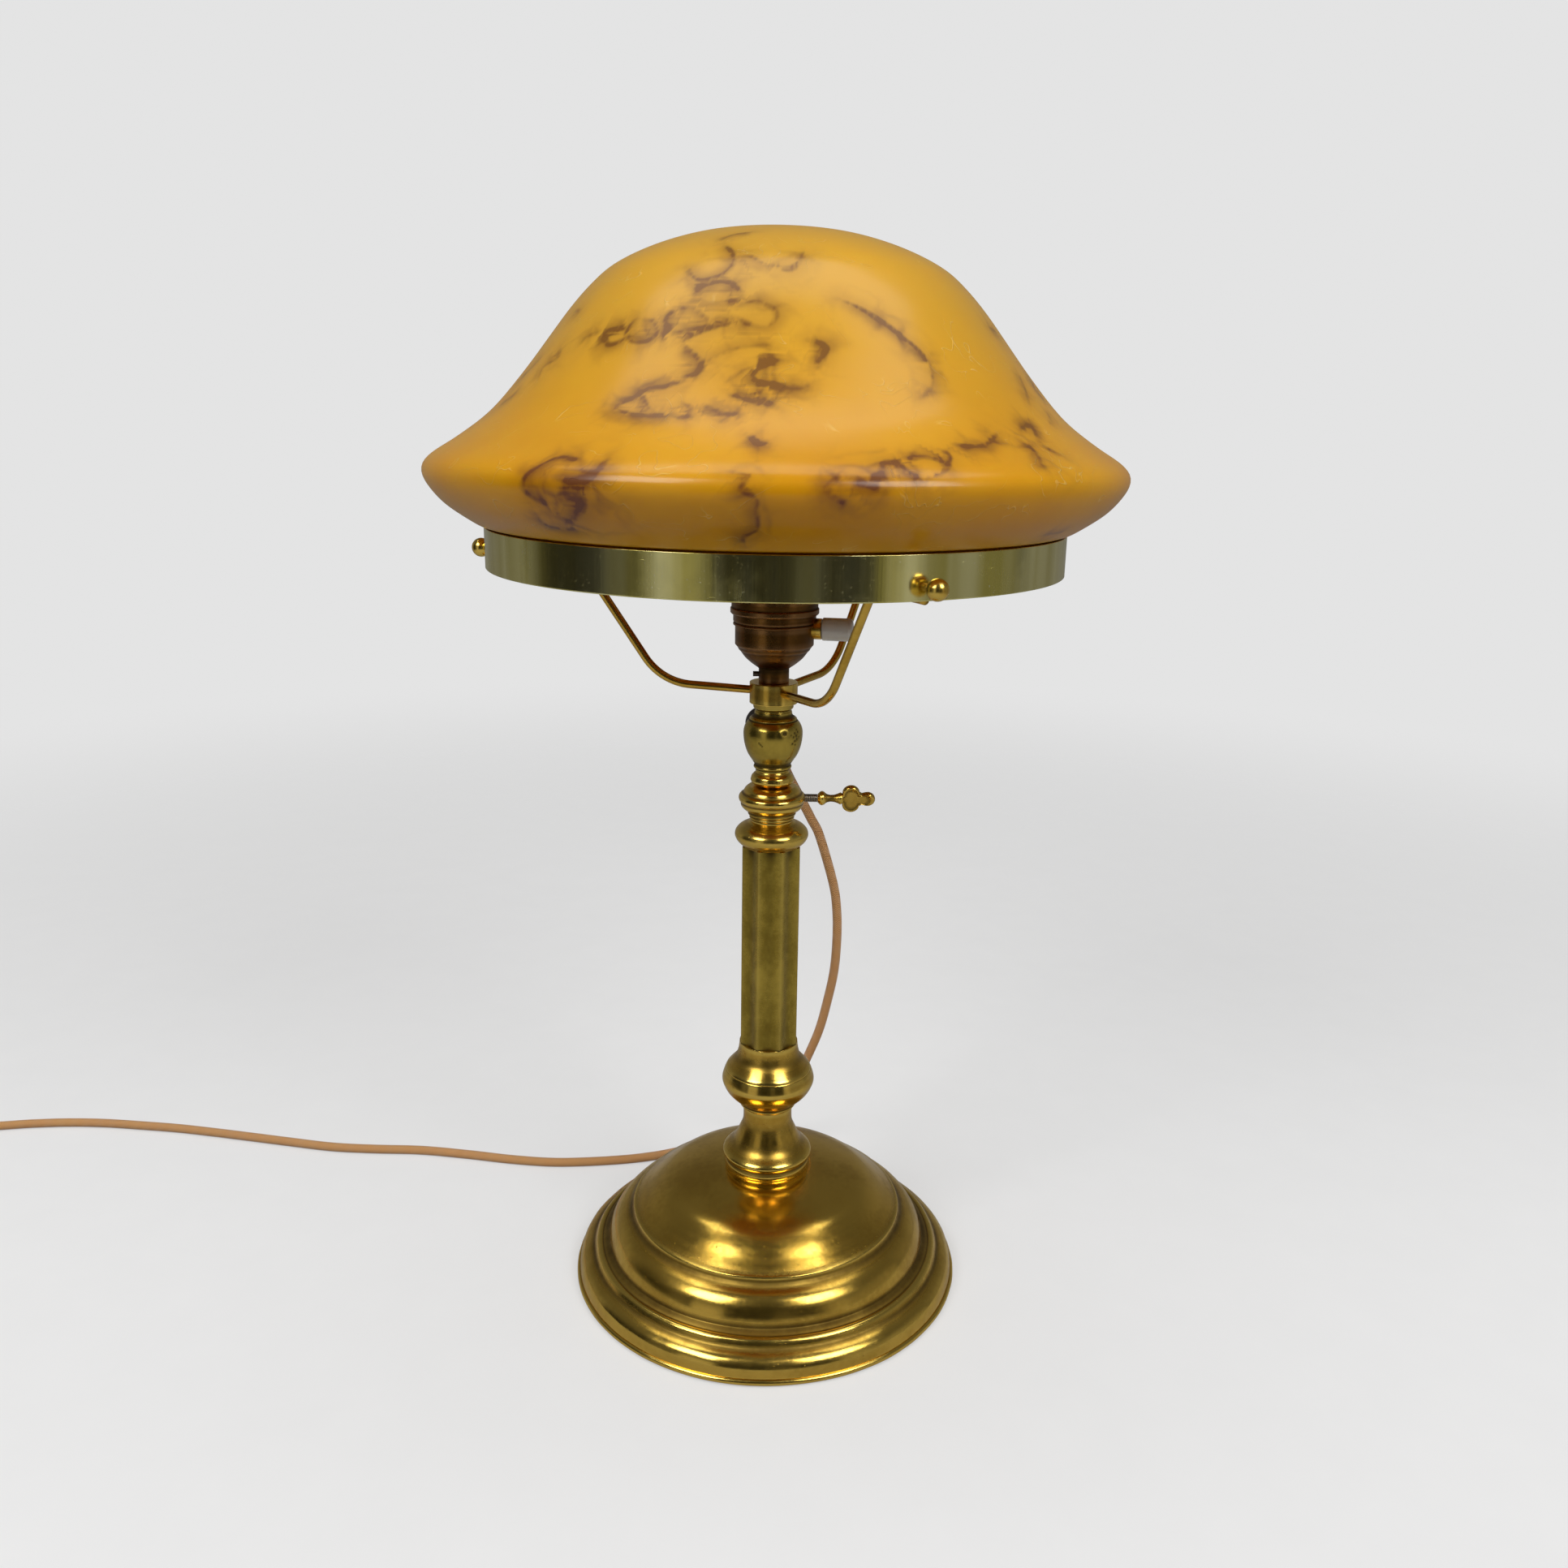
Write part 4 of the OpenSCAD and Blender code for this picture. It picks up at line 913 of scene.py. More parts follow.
# %% The fluted tube
def fluted():
    """One turn of fluted outline, drawn as a curve and carried up a straight line."""
    low, high = (Vector(c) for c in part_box("fluted_tube"))
    ridge, depth, flutes = 14.7 * MM, 1.9 * MM, 8
    g = Growth("fluted column", {"Radius": "Float", "Depth": "Float", "Flutes": "Int",
                                 "Foot": "Float", "Head": "Float"})
    where = g.node("GeometryNodeInputPosition")
    x, y, z = (g.node("ShaderNodeSeparateXYZ", {"Vector": where}, out=k) for k in "XYZ")
    turn = g.math("ARCTAN2", y, x) + math.pi / 2
    hollow = g.math("ABSOLUTE", g.math("COSINE", g.size("Flutes") * turn / 2.0)) ** 1.3
    outline = g.node("GeometryNodeCurvePrimitiveCircle",
                     {"Resolution": flutes * 28, "Radius": g.size("Radius")})
    scale = 1.0 - hollow * g.size("Depth") / g.size("Radius")
    scaled = g.node("ShaderNodeVectorMath", {0: where, "Scale": scale}, operation="SCALE")
    outline = g.node("GeometryNodeSetPosition", {"Geometry": outline, "Position": scaled})
    start = g.node("ShaderNodeCombineXYZ", {"Z": g.size("Foot")})
    stop = g.node("ShaderNodeCombineXYZ", {"Z": g.size("Head")})
    line = g.node("GeometryNodeCurvePrimitiveLine", {"Start": start, "End": stop})
    line = g.node("GeometryNodeResampleCurve", {"Curve": line, "Count": 90})
    tube_mesh = g.node("GeometryNodeCurveToMesh",
                       {"Curve": line, "Profile Curve": outline, "Fill Caps": True})
    mesh = g.grow("column_fluted", tube_mesh, {"Radius": ridge, "Depth": depth, "Flutes": flutes,
                                               "Foot": low.z, "Head": high.z}, "aged_brass")
    co = np.empty(len(mesh.vertices) * 3)
    mesh.vertices.foreach_get("co", co)
    x, y, z = co.reshape(-1, 3).T
    hollow = (ridge - np.hypot(x, y)) / depth
    # Painted shade: the hollows darken towards the flange above and the seat below, and the lowest
    # 0.6 mm is a painted shadow line; elsewhere the hollows only get a little dirt.
    shade_near_ends = np.clip(np.maximum(1 - (z - low.z) / 0.0022, 1 - (high.z - z) / 0.006), 0, 1)
    dirt_and_shade = np.clip(hollow ** 2 * (0.2 + 0.8 * shade_near_ends) + (z - low.z < 0.0006), 0, 1)
    for mark, numbers in (("dirt_and_shade", dirt_and_shade), ("wear", np.clip(1 - hollow, 0, 1) ** 4)):
        mesh.attributes.new(mark, "FLOAT", "POINT").data.foreach_set(
            "value", numbers.astype(np.float32))
    mesh.polygons.foreach_set("use_smooth", [len(p.vertices) == 4 for p in mesh.polygons])
    piece = bpy.data.objects.new("column_fluted", mesh)
    bpy.context.scene.collection.objects.link(piece)
    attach(piece, "base")
    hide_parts("fluted_tube")
    return piece


tube_fluted = fluted()
print("fluted tube:", len(tube_fluted.data.polygons), "faces")

# %% [markdown]
# ## Stem, ball and hub
# The ball is the oldest casting on the lamp and has pits: one dark blow-hole and a spray of small
# ones on its right, and a scratch low on its left. They are dents in the mesh, placed by their
# direction from the middle of the ball, and darkened through the dirt_and_shade mark: grime in
# the pits, and painted shade for the depth of a hole, which the shallow dents lack.

# %% The ball
ball_low, ball_high = (Vector(c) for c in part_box("stem_ball"))
BALL = Vector((0, 0, ball_low.z + (ball_high.z - ball_low.z) * 0.62))
BALL_R = 0.0137
# azimuth and height in degrees, radius in mm, depth
PITS = [(-66, 10, 1.0, 0.9), (-42, 9, 0.5, 0.4), (-38, 4, 0.6, 0.5), (-46, 2, 0.45, 0.4),
        (-36, -3, 0.6, 0.5), (-42, -6, 0.5, 0.4), (-33, 10, 0.45, 0.3), (-48, -11, 0.5, 0.4),
        (-40, -14, 0.4, 0.3), (-30, 0, 0.4, 0.3), (-52, 6, 0.35, 0.3), (-35, 15, 0.35, 0.3),
        (-117, -9, 0.35, 0.3), (-114, -12, 0.35, 0.3), (-111, -15, 0.35, 0.3)]


def pit_fields(co):
    """Each pit's direction and depth, and how far every point is from it, in pit radii."""
    for az, up, size, deep in PITS:
        a, e = math.radians(az), math.radians(up)
        d = np.array((math.cos(a) * math.cos(e), math.sin(a) * math.cos(e), math.sin(e)))
        yield d, deep, np.linalg.norm(co - np.array(BALL) - d * BALL_R, axis=1) / (size * MM)


def pitted(co):
    out = co.copy()
    for d, deep, far in pit_fields(co):
        out -= (np.exp(-far ** 2) * deep * 0.5 * MM)[:, None] * d
    return out


def pit_marks(co):
    dark = np.zeros(len(co))
    for _, _, far in pit_fields(co):
        # Darkest at each pit's middle: grime, and painted shade for a hole's depth.
        dark = np.maximum(dark, np.exp(-(far * 0.9) ** 2) * 1.5)
    return {"pit": np.clip(dark, 0, 1)}


ball = turned("ball_cast", "stem_ball", "stem", 0.00025, 200, shape=pitted, extra=pit_marks,
              hidden=lambda r, z: r < 0.0065 or math.hypot(r, z - BALL.z) < 0.0115)
marks = ball.data.attributes["dirt_and_shade"].data
for i, pit in enumerate(ball.data.attributes["pit"].data):
    marks[i].value = max(marks[i].value, pit.value)
print("ball:", len(PITS), "pits")

# %% The rest of the stem
BUSH_TURN, BUSH_Z = math.radians(106), 0.281192
for name, node, fine in (("bead", "stop_bead", 0.00022), ("spacer", "spacer_ring", 0.0002),
                         ("hub", "arm_hub", 0.0003)):
    turned(name + "_turned", node, "stem", fine, 128, turn=20.0)
turned("stem_tube_drawn", "stem_tube", "stem", 0.002, 96)
turned("cord_bush_turned", "cord_bush", "stem", 0.0004, 64, at=(0, 0, BUSH_Z),
       along=(math.cos(BUSH_TURN), math.sin(BUSH_TURN), 0))
print("stem made")

# %% [markdown]
# ## The clamp screw and its key
# The screw's thread is a real helix: rings a tenth of a millimetre apart whose radius rises and
# falls as the angle goes round. The key has a turned neck with a bead, and a cast clover plate
# with a raised edge, lofted as rings from its middle out, a little tilted as it was left.

# %% The clamp screw
def threaded(name, node, body, axis, start, stop, radius, pitch, at=(0, 0, 0), depth=0.00022):
    w = np.array(Vector(axis).normalized())
    u, v = side_axes(w)
    columns = 24
    x = np.arange(start, stop, pitch / 7)
    a = np.arange(columns) * 2 * math.pi / columns
    points, dirt_and_shade = [], []
    for h in x:
        wave = 0.5 + 0.5 * np.cos(2 * math.pi * h / pitch - a)
        r = radius - depth * (1 - wave)
        points.append(np.array(at) + h * w + r[:, None] * (np.cos(a)[:, None] * u
                                                          + np.sin(a)[:, None] * v))
        dirt_and_shade.append(1 - wave)
    faces, r, c = grid_faces(len(x), columns)
    faces = [tuple(f) for f in faces.tolist()]
    last = (len(x) - 1) * columns
    faces += [tuple(range(columns))[::-1], tuple(last + i for i in range(columns))]
    return build(name, np.vstack(points), faces, body, slot_of[node], (node,),
                 marks={"dirt_and_shade": np.concatenate(dirt_and_shade)})


CLAMP_Z = 0.249745
threaded("clamp_screw_thread", "clamp_screw", "clamp_screw", (1, 0, 0), 0.0068, 0.0215, 0.00198,
         0.0007, (0, 0, CLAMP_Z))
print("clamp screw made")

# %% The key
KEY_X, KEY_TILT = 21.5, math.radians(20)
neck = np.array([(0, 0), (2.1, 0), (2.4, 0.4), (3.1, 1.0), (3.45, 2.0), (3.1, 3.0), (2.4, 3.7),
                 (1.9, 4.5), (1.6, 6.0), (1.7, 7.6), (2.2, 9.2), (2.9, 10.6), (2.4, 11.8),
                 (0, 12.4)]) * MM
neck[:, 1] += KEY_X * MM


def clover():
    """The plate's edge is the furthest of its lobes in each direction from its middle."""
    lobe, plate_x = 4.03, KEY_X + 15.6
    middle = plate_x + 1.2
    circles = [(plate_x - middle, 3.17, lobe), (plate_x - middle, -3.17, lobe),
               (plate_x + 8.06 - middle, 0, 3.35), (1.6, 0, 3.6), (-4.6, 0, 2.4)]
    columns = 120
    edge = []
    for j in range(columns):
        a = 2 * math.pi * j / columns
        d = (math.cos(a), math.sin(a))
        reach = 0.0
        for cx, cz, r in circles:
            along = cx * d[0] + cz * d[1]
            inside = r * r - (cx * cx + cz * cz - along * along)
            if inside > 0:
                reach = max(reach, along + math.sqrt(inside))
        edge.append(reach)
    edge = np.array(edge)
    edge = (np.roll(edge, 1) + 2 * edge + np.roll(edge, -1)) / 4
    rings = [(0.0, 1.05), (0.3, 1.1), (0.55, 1.05), (0.7, 1.0), (0.78, 1.2), (0.84, 1.5),
             (0.9, 1.55), (0.95, 1.4), (0.985, 1.0), (1.0, 0.5), (1.0, -0.5), (0.985, -1.0),
             (0.95, -1.4), (0.9, -1.55), (0.84, -1.5), (0.78, -1.2), (0.7, -1.0), (0.55, -1.05),
             (0.3, -1.1), (0.0, -1.05)]
    points, dirt_and_shade, wear = [], [], []
    for k, y in rings:
        for j in range(columns):
            a = 2 * math.pi * j / columns
            x, z = middle + edge[j] * k * math.cos(a), edge[j] * k * math.sin(a)
            points.append((x * MM, (-y * math.cos(KEY_TILT) - z * math.sin(KEY_TILT)) * MM,
                           CLAMP_Z + (-y * math.sin(KEY_TILT) + z * math.cos(KEY_TILT)) * MM))
            dirt_and_shade.append(0.8 if 0.6 < k < 0.8 else 0.15)
            wear.append(0.9 if 0.85 < k < 0.96 else 0.1)
    faces, r, c = grid_faces(len(rings), columns)
    return build("key_clover", points, [tuple(f)[::-1] for f in faces.tolist()], "clamp_key",
                 "polished_brass", marks={"dirt_and_shade": dirt_and_shade, "wear": wear})


turned("key_neck", "clamp_key", "clamp_key", 0.0002, 48, along=(1, 0, 0), at=(0, 0, CLAMP_Z),
       path=neck)
clover()
print("key made")

# %% [markdown]
# ## Arms, ring and shade screws
# Three bent rods carry the ring. Their path is the CAD's: straight out of the hub, up along a
# slant, and level again under the ring's seat, with rounded bends. The ring is turned from its
# outline; its three ball-headed screws point at the axis.

# %% Arms, ring and shade screws
HUB_R, RING_R, ROD_D = 11.1, 127.4, 3.7
ring_low, ring_high = (Vector(c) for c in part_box("gallery_ring"))
RING_Z, SCREW_Z, ARM_Z = ring_low.z / MM, ring_low.z / MM + 5, ring_low.z / MM - 57
AZIMUTHS = {"front": -63.5, "back": 56.5, "left": 176.5}


def bend(a, b, c, radius, steps=14):
    """The corner at b of a path a, b, c, rounded."""
    a, b, c = (Vector(x) for x in (a, b, c))
    u, v = (a - b).normalized(), (c - b).normalized()
    half = u.angle(v) / 2
    o = b + (u + v).normalized() * radius / math.sin(half)
    s, e = b + u * radius / math.tan(half) - o, b + v * radius / math.tan(half) - o
    turn = math.pi - 2 * half
    return [o + (s * math.sin(turn * (1 - i / steps)) + e * math.sin(turn * i / steps))
            / math.sin(turn) for i in range(steps + 1)]


def arm(name, azimuth):
    lip_z = RING_Z + 2.2
    root, begin = (HUB_R - 2.8, 0, ARM_Z), (HUB_R + 1, 0, ARM_Z)
    low, high = (52, 0, ARM_Z + 2.2), (RING_R - 39, 0, lip_z - ROD_D / 2 - 0.1)
    end = (RING_R - 1.5, 0, high[2])
    pts = [Vector(root), Vector(begin), *bend(begin, low, high, 27), *bend(low, high, end, 8),
           Vector(end)]
    spin = Matrix.Rotation(math.radians(azimuth), 3, "Z")
    pts = evenly([spin @ p for p in pts], 1.2) * MM
    return tube("arm_rod_" + name, pts, ROD_D / 2 * MM, "stem", "polished_brass",
                ("arm_" + name,), 20)


for name, azimuth in AZIMUTHS.items():
    arm(name, azimuth)
    a = math.radians(azimuth)
    out = (math.cos(a), math.sin(a), 0)
    at = (0, 0, SCREW_Z * MM)
    threaded("shade_screw_thread_" + name, "screw_" + name, "screw_" + name, out, 0.1246, 0.1305,
             0.00148, 0.0005, at, 0.00015)
    turned("ball_head_" + name, "head_" + name, "head_" + name, 0.0002, 64, along=out, at=at)
ring = turned("gallery_ring_rolled", "gallery_ring", "stem", 0.0004, 384, blur=2,
              turn=12.0, soften=0.0002)
print("ring:", len(ring.data.polygons), "faces")

# %% [markdown]
# ## The lampholder
# A dark bronze cap and sleeve round a porcelain core, with a threaded ring, and a ceramic switch
# knob on the right. Most of it hides in the shade's shadow, but it shows from below.

# %% The lampholder and the bulb
KNOB_TURN, KNOB_Z = math.radians(-8), 0.3303
knob_axis = (math.cos(KNOB_TURN), math.sin(KNOB_TURN), 0)
knob_at = (0, 0, KNOB_Z)
for name, node in (("holder_cap_spun", "holder_cap"), ("holder_sleeve_spun", "holder_sleeve"),
                   ("holder_ring_cut", "holder_ring")):
    turned(name, node, "stem", 0.0003, 128, turn=80.0)
for name, node in (("screw_shell_formed", "screw_shell"), ("shell_liner_glazed", "shell_liner"),
                   ("holder_core_glazed", "holder_core"),
                   ("centre_contact_pressed", "centre_contact")):
    turned(name, node, "stem", 0.001, 72, turn=80.0)
turned("switch_knob_glazed", "switch_knob", "switch", 0.0003, 72, along=knob_axis, at=knob_at)
turned("switch_bush_turned", "switch_bush", "stem", 0.0004, 48, along=knob_axis, at=knob_at)
turned("bulb_glass_blown", "bulb_glass", "bulb", 0.0012, 96)
turned("bulb_cap_formed", "bulb_cap", "bulb", 0.0006, 72)
print("lampholder and bulb made")

# %% [markdown]
# ## The shade and its threads
# Each thread is a line over the glass, given as (azimuth, distance down from the crown
# along the outline, in mm), with a width and a strength. The front's pattern is laid again,
# turned and a little shuffled, round the back, as the real glass is marbled all round.

# %% The threads of the glass
VEINS = [
    (1.6, 0.75, [(-116, 84), (-111, 90), (-106, 89), (-103, 84), (-103, 77), (-108, 67)]),
    (1.4, 0.6, [(-113, 63), (-110, 56), (-103, 51)]),
    (1.5, 0.7, [(-103, 77), (-98, 77), (-94, 81), (-88, 83), (-85, 81), (-82, 75)]),
    (1.8, 0.6, [(-92, 81), (-88, 85), (-85, 83), (-82, 73)]),
    (1.8, 0.8, [(-111, 99), (-110, 94), (-108, 92), (-103, 91), (-98, 97)]),
    (1.6, 0.7, [(-112, 99), (-106, 101), (-100, 100), (-98, 97)]),
    (2.2, 0.95, [(-114, 104), (-116, 108), (-115, 113), (-115, 119)]),
    (1.5, 0.7, [(-115, 104), (-110, 103), (-107, 107), (-105, 110), (-106, 113), (-113, 116)]),
    (1.4, 0.75, [(-105, 110), (-102, 108), (-100, 111), (-102, 112), (-106, 115), (-110, 120)]),
    (1.5, 0.6, [(-99, 103), (-96, 101), (-92, 103), (-90, 107), (-92, 112), (-96, 111),
                (-99, 108)]),
    (1.8, 0.75, [(-122, 108), (-118, 110), (-116, 115), (-118, 119), (-122, 119), (-125, 114),
                 (-124, 109), (-122, 108)]),
    (2, 0.85, [(-125, 114), (-128, 113), (-131, 115), (-128, 120), (-125, 118), (-124, 115)]),
    (1.3, 0.45, [(-138, 120), (-137, 116), (-133, 114)]),
    (1.3, 0.5, [(-146, 121), (-144, 126), (-148, 130), (-146, 136)]),
    (1.5, 0.9, [(-109, 121), (-105, 127), (-104, 130), (-105, 134), (-108, 136)]),
    (1.4, 0.5, [(-104, 130), (-99, 123), (-94, 121), (-90, 122)]),
    (2, 0.9, [(-106, 136), (-110, 140), (-113, 141), (-116, 146), (-118, 150), (-114, 153),
              (-110, 153), (-106, 153)]),
    (1.3, 0.7, [(-114, 143), (-112, 149), (-110, 153)]),
    (1.3, 0.6, [(-108, 152), (-104, 155), (-104, 150), (-106, 147)]),
    (2.4, 0.85, [(-102, 148), (-99, 151), (-97, 152), (-96, 149)]),
    (1.4, 0.6, [(-97, 152), (-98, 156), (-100, 155)]),
    (1.6, 0.75, [(-98, 143), (-94, 146), (-92, 147), (-92, 143), (-93, 140)]),
    (1.8, 1, [(-88, 128), (-92, 129), (-94, 134), (-93, 137), (-90, 138), (-86, 139), (-84, 137)]),
    (1.3, 0.5, [(-99, 137), (-96, 132), (-94, 130)]),
    (2.4, 0.8, [(-92, 141), (-92, 146), (-90, 149)]),
    (1.8, 0.8, [(-94, 163), (-93, 165), (-92, 168), (-91, 166)]),
    (1.6, 0.7, [(-126, 193), (-125, 188), (-123, 183), (-121, 179), (-117, 181)]),
    (3, 0.95, [(-120, 189), (-117, 190), (-114, 188), (-113, 180)]),
    (4, 0.8, [(-119, 195), (-116, 197), (-118, 204), (-122, 211)]),
    (1.8, 0.9, [(-126, 205), (-126, 211), (-123, 213), (-120, 211)]),
    (1.4, 0.6, [(-126, 194), (-124, 198), (-122, 199)]),
    (1.2, 0.7, [(-96, 184), (-93, 186), (-94, 191), (-92, 194), (-92, 199), (-92, 208), (-94, 213),
                (-94, 221)]),
    (1.5, 0.9, [(-75, 99), (-70, 103), (-66, 108), (-62, 115), (-59, 121), (-58, 128), (-59, 135),
                (-61, 140), (-63, 143)]),
    (2.4, 0.7, [(-58, 128), (-59, 135), (-62, 142)]),
    (2, 0.85, [(-83, 118), (-80, 120), (-80, 123), (-82, 130)]),
    (1.8, 0.9, [(-62, 167), (-58, 168), (-55, 166), (-51, 160)]),
    (3.2, 0.9, [(-44, 159), (-40, 157), (-42, 163)]),
    (3.6, 0.7, [(-47, 165), (-46, 171), (-48, 180), (-48, 183)]),
    (1.4, 0.6, [(-42, 168), (-40, 174)]),
    (1.8, 0.7, [(-80, 196), (-83, 191), (-82, 187), (-81, 184)]),
    (4, 0.85, [(-80, 186), (-78, 188), (-76, 190)]),
    (2.2, 0.95, [(-78, 187), (-76, 184), (-75, 178), (-73, 178), (-72, 183), (-70, 188)]),
    (1.5, 0.8, [(-72, 176), (-68, 175), (-66, 179), (-66, 181), (-64, 174), (-65, 170)]),
    (1.6, 0.5, [(-26, 106), (-20, 108)]),
    (1.4, 0.45, [(-26, 129), (-29, 137), (-33, 145)]),
    (2.5, 0.5, [(-42, 216), (-35, 215)]),
    (1.6, 0.5, [(-158, 149), (-154, 144), (-154, 141)])]
# patches of brown haze: azimuth, distance down, radius in mm, strength
HAZE = [(-118, 198, 17, 0.75), (-78, 187, 12, 0.5), (-45, 170, 14, 0.5), (-104, 95, 14, 0.3),
        (-120, 114, 10, 0.35), (-112, 147, 12, 0.35), (-93, 138, 10, 0.35), (-98, 152, 7, 0.45),
        (-103, 70, 12, 0.3), (-87, 80, 10, 0.25), (-96, 107, 9, 0.25), (-60, 130, 7, 0.2)]
print(len(VEINS), "threads,", len(HAZE), "patches of haze")

# %% [markdown]
# A line given in azimuth and distance is laid on the glass by way of its outline. Every point of
# the mesh then looks for the nearest thread and keeps the way to it as a vector. A bare distance
# would do for the line itself, but it has a kink on the line, which shows as a row of teeth.

# %% The shade
THREAD_FAR = 0.02  # metres: further off than this, a thread does not count
SKIN = 0.0012  # how deep the glass still counts as its outside
LAYS = ((0, 0), (127, 6), (232, -5))  # turned by, in degrees, and moved down by, in mm
glass_path = section("glass_shade", 12.0)


def glass_outline():
    """The outside of the glass from the crown down to its ring: distances and points."""
    p = glass_path[::-1] if glass_path[-1, 1] > glass_path[0, 1] else glass_path
    p = p[:int(np.argmax(p[:, 1] < ring_high.z))]
    return np.r_[0, np.cumsum(np.hypot(*np.diff(p, axis=0).T))], p


outline_s, outline_p = glass_outline()


def on_glass(azimuth, down):
    r = np.interp(down * MM, outline_s, outline_p[:, 0])
    z = np.interp(down * MM, outline_s, outline_p[:, 1])
    a = math.radians(azimuth)
    return np.array((r * math.cos(a), r * math.sin(a), z))


def glass_marks(co):
    """The marks vein, thread, ink, side and haze for each point; see the glass's own cell."""
    best = np.full(len(co), THREAD_FAR)
    thread = np.full((len(co), 3), 0.0115)
    ink, haze, side = np.zeros(len(co)), np.zeros(len(co)), np.zeros(len(co))
    for lay, (turn, shift) in enumerate(LAYS):
        for index, (width, strength, line) in enumerate(VEINS):
            if lay and len(line) > 8:
                continue
            pts = smooth_path([on_glass(a + turn, d + (shift if 60 < d < 150 else 0))
                               for a, d in line], 0.0012)
            middle = pts.mean(0)
            span = np.linalg.norm(pts - middle, axis=1).max() + THREAD_FAR
            near = np.nonzero(np.linalg.norm(co - middle, axis=1) < span)[0]
            if not len(near):
                continue
            gap = np.linalg.norm(co[near][:, None] - pts[None], axis=2)
            nearest = gap.argmin(1)
            heading = np.gradient(pts, axis=0)[nearest]
            offset = co[near] - pts[nearest]
            out = np.cross(heading, np.stack([pts[nearest, 0], pts[nearest, 1],
                                              np.full(len(near), 0.04)], -1))
            heading /= np.maximum(np.linalg.norm(heading, axis=1, keepdims=True), 1e-9)
            slip = (offset * heading).sum(1, keepdims=True)
            between = (nearest > 0) & (nearest < len(pts) - 1)
            offset = np.where(between[:, None], offset - slip * heading, offset)
            reach = np.linalg.norm(offset, axis=1)
            soft = ((out * offset).sum(1) > 0) == (index % 3 > 0)
            ends = np.minimum(nearest, len(pts) - 1 - nearest) / max(3, len(pts) * 0.18)
            far = np.maximum(0, reach - (width - 1.4) * 0.3 * MM)
            closer = far < best[near]
            best[near[closer]] = far[closer]
            shorter = (far / np.maximum(reach, 1e-6))[closer, None]
            thread[near[closer]] = -offset[closer] * shorter
            side[near[closer]] = soft[closer]
            ink[near[closer]] = (strength * np.clip(0.35 + ends, 0, 1))[closer]
        for a, d, size, strength in HAZE:
            far = np.linalg.norm(co - on_glass(a + turn, d), axis=1) / (size * MM)
            haze = np.maximum(haze, strength * np.exp(-far ** 2))
    return {"vein": best, "ink": ink, "haze": haze, "side": side, "thread": thread}


def within(r, z):
    """Whether a place on the outline belongs to the inside of the glass."""
    return r < np.interp(-z, -outline_p[:, 1], outline_p[:, 0]) - SKIN


shade = turned("shade_blown", "glass_shade", "shade", 0.0018, 560, extra=glass_marks,
               path=glass_path, blur=2, soften=0.0006, hidden=within)
print("shade:", len(shade.data.polygons), "faces")

# %% [markdown]
# ## Studio
# A pale floor that fades into a pale background, two soft boxes high on the left and right, a
# wide one above, and a dim room whose dark and light stretches give the brass something to mirror.

# %% The floor
FLOOR_R, FLOOR_SIDES = 3, 96
FLOOR_DROP = 0.0002  # keeps the floor clear of what stands on it


def floor():
    mesh = bpy.data.meshes.new("floor")
    edge_points = [(FLOOR_R * math.cos(a), FLOOR_R * math.sin(a), -FLOOR_DROP)
                   for a in np.linspace(0, 2 * math.pi, FLOOR_SIDES + 1)[:-1]]
    mesh.from_pydata(edge_points, [], [tuple(range(FLOOR_SIDES))])
    s = Shader("floor")
    p = s.point()
    far = s.node("ShaderNodeVectorMath", {0: p}, out="Value", operation="LENGTH")
    grain = s.noise(p, 30.0, 3.0)
    colour = s.mix(grain, (0.44, 0.44, 0.44), (0.47, 0.47, 0.47))
    seen = s.node("ShaderNodeLightPath", out="Is Camera Ray")
    glow = s.node("ShaderNodeEmission", {"Color": (1.0, 1.0, 1.0, 1.0), "Strength": 0.45})
    dull = s.node("ShaderNodeBsdfDiffuse", {"Color": colour})
    clear = s.node("ShaderNodeBsdfTransparent")
    lit = s.node("ShaderNodeAddShader", {0: dull, 1: glow})
    floor_look = s.node("ShaderNodeMixShader", {0: seen, 1: dull, 2: lit})
    edge = s.band(far, 0.55, 1.6)
    s.node("ShaderNodeOutputMaterial",
           {"Surface": s.node("ShaderNodeMixShader", {0: edge, 1: floor_look, 2: clear})})
    mesh.materials.append(s.owner)
    piece = bpy.data.objects.new("floor", mesh)
    bpy.context.scene.collection.objects.link(piece)


print("floor ready")

# %% [markdown]
# The lights are area lamps, because a real soft box is a large bright square and shows as one in
# every turned ring. The room is a world whose brightness depends on the direction alone.

# %% Lights and room
LAMP_MIDDLE = (0, 0, 0.25)


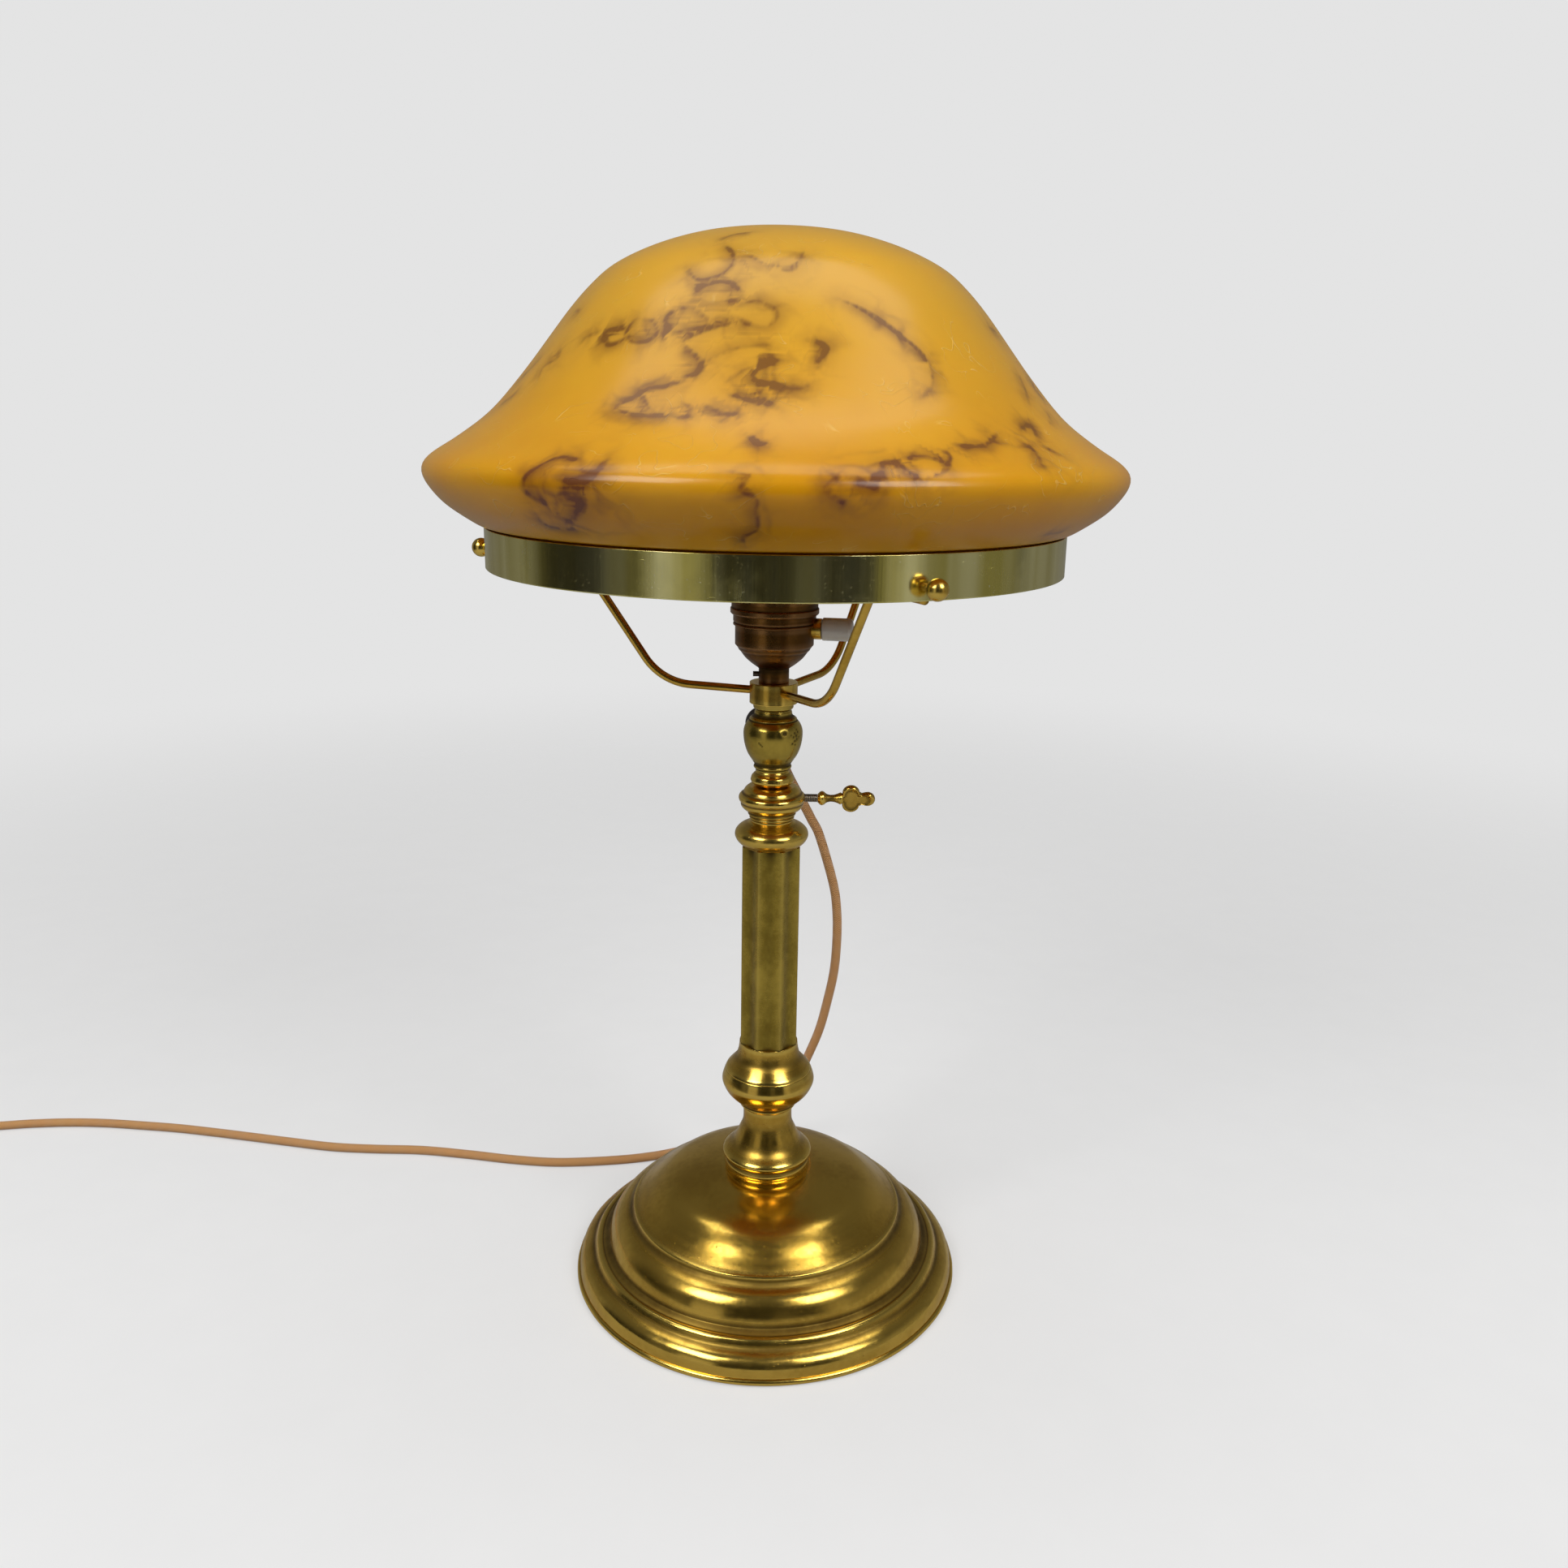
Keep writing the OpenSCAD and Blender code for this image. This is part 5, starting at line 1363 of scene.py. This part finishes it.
def soft_box(name, place, size, power):
    light = bpy.data.lights.new(name, "AREA")
    light.shape, light.size, light.size_y = "RECTANGLE", size[0], size[1]
    light.energy = power
    piece = bpy.data.objects.new(name, light)
    piece.location = place
    piece.rotation_euler = (Vector(LAMP_MIDDLE) - Vector(place)).to_track_quat("-Z", "Y").to_euler()
    bpy.context.scene.collection.objects.link(piece)


# what stands round the lamp at its own height: from, to in degrees off the front, brightness
WALLS = [(-112, -98, 0.10), (-66, -52, 0.08), (-48, -25, 0.36), (8, 17, 0.07), (40, 57, 0.34),
         (58, 104, 0.2)]


def room():
    world = bpy.data.worlds.new("room")
    bpy.context.scene.world = world
    s = Shader("room", world)
    d = s.node("ShaderNodeTexCoord", out="Generated")
    x, y, z = (s.node("ShaderNodeSeparateXYZ", {"Vector": d}, out=k) for k in "XYZ")
    turn = s.math("ARCTAN2", x, -y)
    bright = s.band(s.math("ABSOLUTE", turn), 1.75, 2.0, 0.022, 0.2)
    for start, stop, level in WALLS:
        a, b = math.radians(start), math.radians(stop)
        bright = bright + s.band(turn, a - 0.03, a + 0.03) * s.band(turn, b - 0.03, b + 0.03, 1.0,
                                                                    0.0) * level
    up = s.band(z, 0.12, 0.6)
    bright = bright * (1.0 - up) + up * s.band(y, -0.8, 0.5, 0.03, 0.12)
    seen = s.node("ShaderNodeLightPath", out="Is Camera Ray")
    lit = s.node("ShaderNodeBackground", {"Color": (1.0, 0.98, 0.94, 1), "Strength": bright})
    shown = s.node("ShaderNodeBackground", {"Color": (0.775, 0.775, 0.775, 1), "Strength": 1.0})
    both = s.node("ShaderNodeMixShader", {0: seen, 1: lit, 2: shown})
    s.node("ShaderNodeOutputWorld", {"Surface": both})


floor()
soft_box("box_left", (-0.85, -0.88, 1.28), (0.7, 0.7), 11)
soft_box("box_right", (0.85, -0.88, 1.28), (0.7, 0.7), 11)
soft_box("box_top", (0.0, 0.1, 2.0), (2.4, 0.7), 10)
room()
print("studio ready")


bpy.context.view_layer.update()
